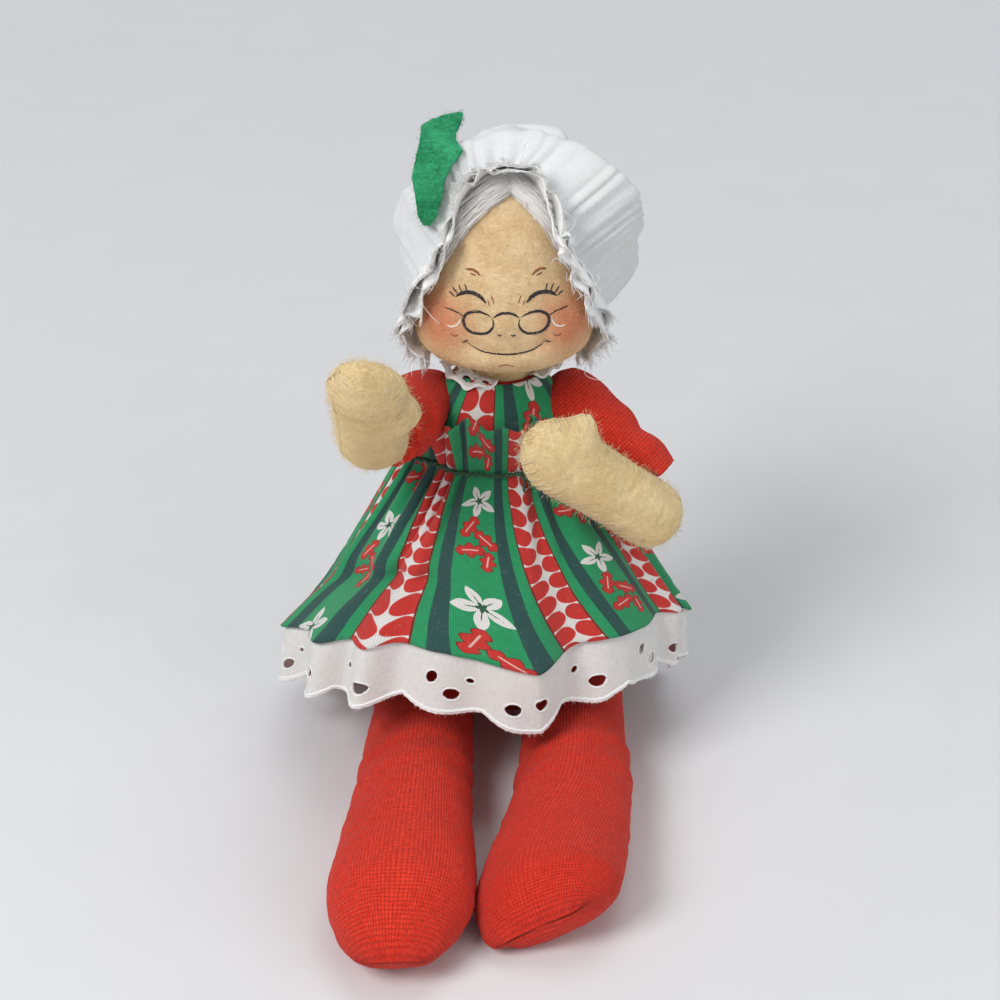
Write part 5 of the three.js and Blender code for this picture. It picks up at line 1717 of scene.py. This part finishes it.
def makeHair():
    rows, columns = hairCut["bedGrid"]
    flat = np.stack(np.meshgrid(np.arange(float(columns)), np.arange(float(rows))), -1)
    down, knots = np.linspace(-0.04, 1.05, columns)[:, None], hairCut["knots"]
    t = np.linspace(0, 1, knots)[:, None]
    patches, strands = [], []
    for side in (-1, 1):
        bed = [hairLine(side, w, down, 0.55 - 0.35 * w) for w in np.linspace(-0.1, 0.8, rows)]
        patches.append(thicken(meshOf("hairBed", bed, gridFaces(rows, columns), flat), hairCut["bed"]))
        for _ in range(hairCut["strands"] // 2):
            w = dice.uniform(-0.1, 1) + dice.normal(0, 0.07)
            stretch = t * dice.uniform(0.6, 1.05) - dice.uniform(0, 0.06)
            line = hairLine(side, w, stretch, 0.2 + hairCut["loft"] * dice.uniform(0, 1)**2)
            strands.append(line + np.cumsum(dice.normal(0, 0.14, (knots, 3)), axis=0))
        for _ in range(hairCut["wisps"]):                   # have come loose
            line = hairLine(side, dice.uniform(0, 1.1), t, 0.3)
            start = dice.integers(1, 8)
            way = unit(dice.normal(0, 1, 3) + np.array([0, -0.7, 0.3])) * dice.uniform(1.0, 3.5)
            strands.append(line[start] + way * t + dice.normal(0, 0.6, 3) * np.sin(t * math.pi))
    hair = joinPieces("hairMohair", patches + [threads("strands", strands, hairCut["thick"], 4, 0.5)])
    dress(hair, mohair, "head", "white_mohair", ("hair",))


leafCut = {
    "long": 22.5, "thick": 1.2, "lean": 34.0, "sway": 9.0, "foot": (-11.1, -7.3, 115.3), "overhang": 1.0,
    "clear": 0.5, "follow": 0.45, "settle": 0.85, "grid": (90, 22), "cup": 0.03, "bow": 0.7,
    # share from foot to tip, then the edge to the viewer's left and to the right
    "edges": [
        [0, 0.5, 0.6], [0.05, 1.6, 1.5], [0.2, 2.6, 2.2], [0.33, 3.6, 2.1],
        [0.45, 3.6, 2.8], [0.62, 3.5, 4.5], [0.70, 3.6, 2.9], [0.80, 3.9, 2.5],
        [0.88, 2.2, 2.9], [0.95, 0.2, 3.1], [1.0, -2.3, 3.0],
    ],
}


def leafBend(share, points, cap, forward):
    # how far each row of the leaf leans forward until the felt just clears the cap behind it
    push = np.full(points.shape[:2], np.nan)
    for spot in np.ndindex(push.shape):
        hit = cap.ray_cast(Vector(points[spot] + forward * 25), Vector(-forward))[0]
        push[spot] = (np.array(hit) - points[spot]) @ forward if hit else np.nan
    rows = np.flatnonzero(np.isfinite(push).any(1))
    most = np.nanmax(push[rows], axis=1)
    curve = np.polyfit(share[rows], most, 2)
    last = share[rows[-1]]
    slope = np.polyval(np.polyder(curve), last)
    bend = np.polyval(curve, np.minimum(share, last)) + slope * np.maximum(0, share - last)
    bend = mix(bend.mean(), bend, leafCut["follow"])        # stiff felt follows the cap only in part
    return bend + np.max(most - bend[rows]) * leafCut["settle"] + leafCut["clear"]


def makeLeaf(*behindIt):
    lean, sway = math.radians(leafCut["lean"]), math.radians(leafCut["sway"])
    leafFrame = limbFrame(leafCut["foot"], (math.sin(sway), math.sin(lean), math.cos(lean)), (1, 0, 0))
    rows, columns = leafCut["grid"]
    places, leftEdge, rightEdge = np.array(leafCut["edges"]).T
    share = np.linspace(0, 1, rows)
    left, right = np.interp(share, places, leftEdge)[:, None], np.interp(share, places, rightEdge)[:, None]
    width = mix(-left, right, np.linspace(0, 1, columns))
    run = share[:, None] * leafCut["long"] - leafCut["overhang"] + 0 * width
    cup = leafCut["cup"] * width**2 - leafCut["bow"] * np.sin(share[:, None] * 3.0)
    points, forward = inFrame(leafFrame, width, cup, run), -leafFrame["deep"]
    points = points + forward * leafBend(share, points, surfaceOf(*behindIt), forward)[:, None, None]
    leaf = meshOf("hollyLeaf", points, gridFaces(rows, columns), np.stack([width, run], -1))
    thicken(leaf, leafCut["thick"])
    pushOut(leaf, 0.14 * lumps(pointsOf(leaf), 1.6, 97))
    dress(leaf, leafFelt, "head", "green_felt", ("holly_leaf",))
    fuzzOn(leaf, "leafFuzz", *fuzzCut["leaf"], leafFibre, "head", "green_felt")


capCrown = makeCrown()
capFrill = makeFrill()
makeGather()
makeHair()
makeLeaf(capCrown, capFrill)
print("cap and leaf made")


# wires stay as the CAD has them, inside the stuffing
for nodeName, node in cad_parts.items():
    if nodeName.endswith("_wire"):
        node.data.materials.clear()
        node.data.materials.append(wireSteel)

print("all pieces made")
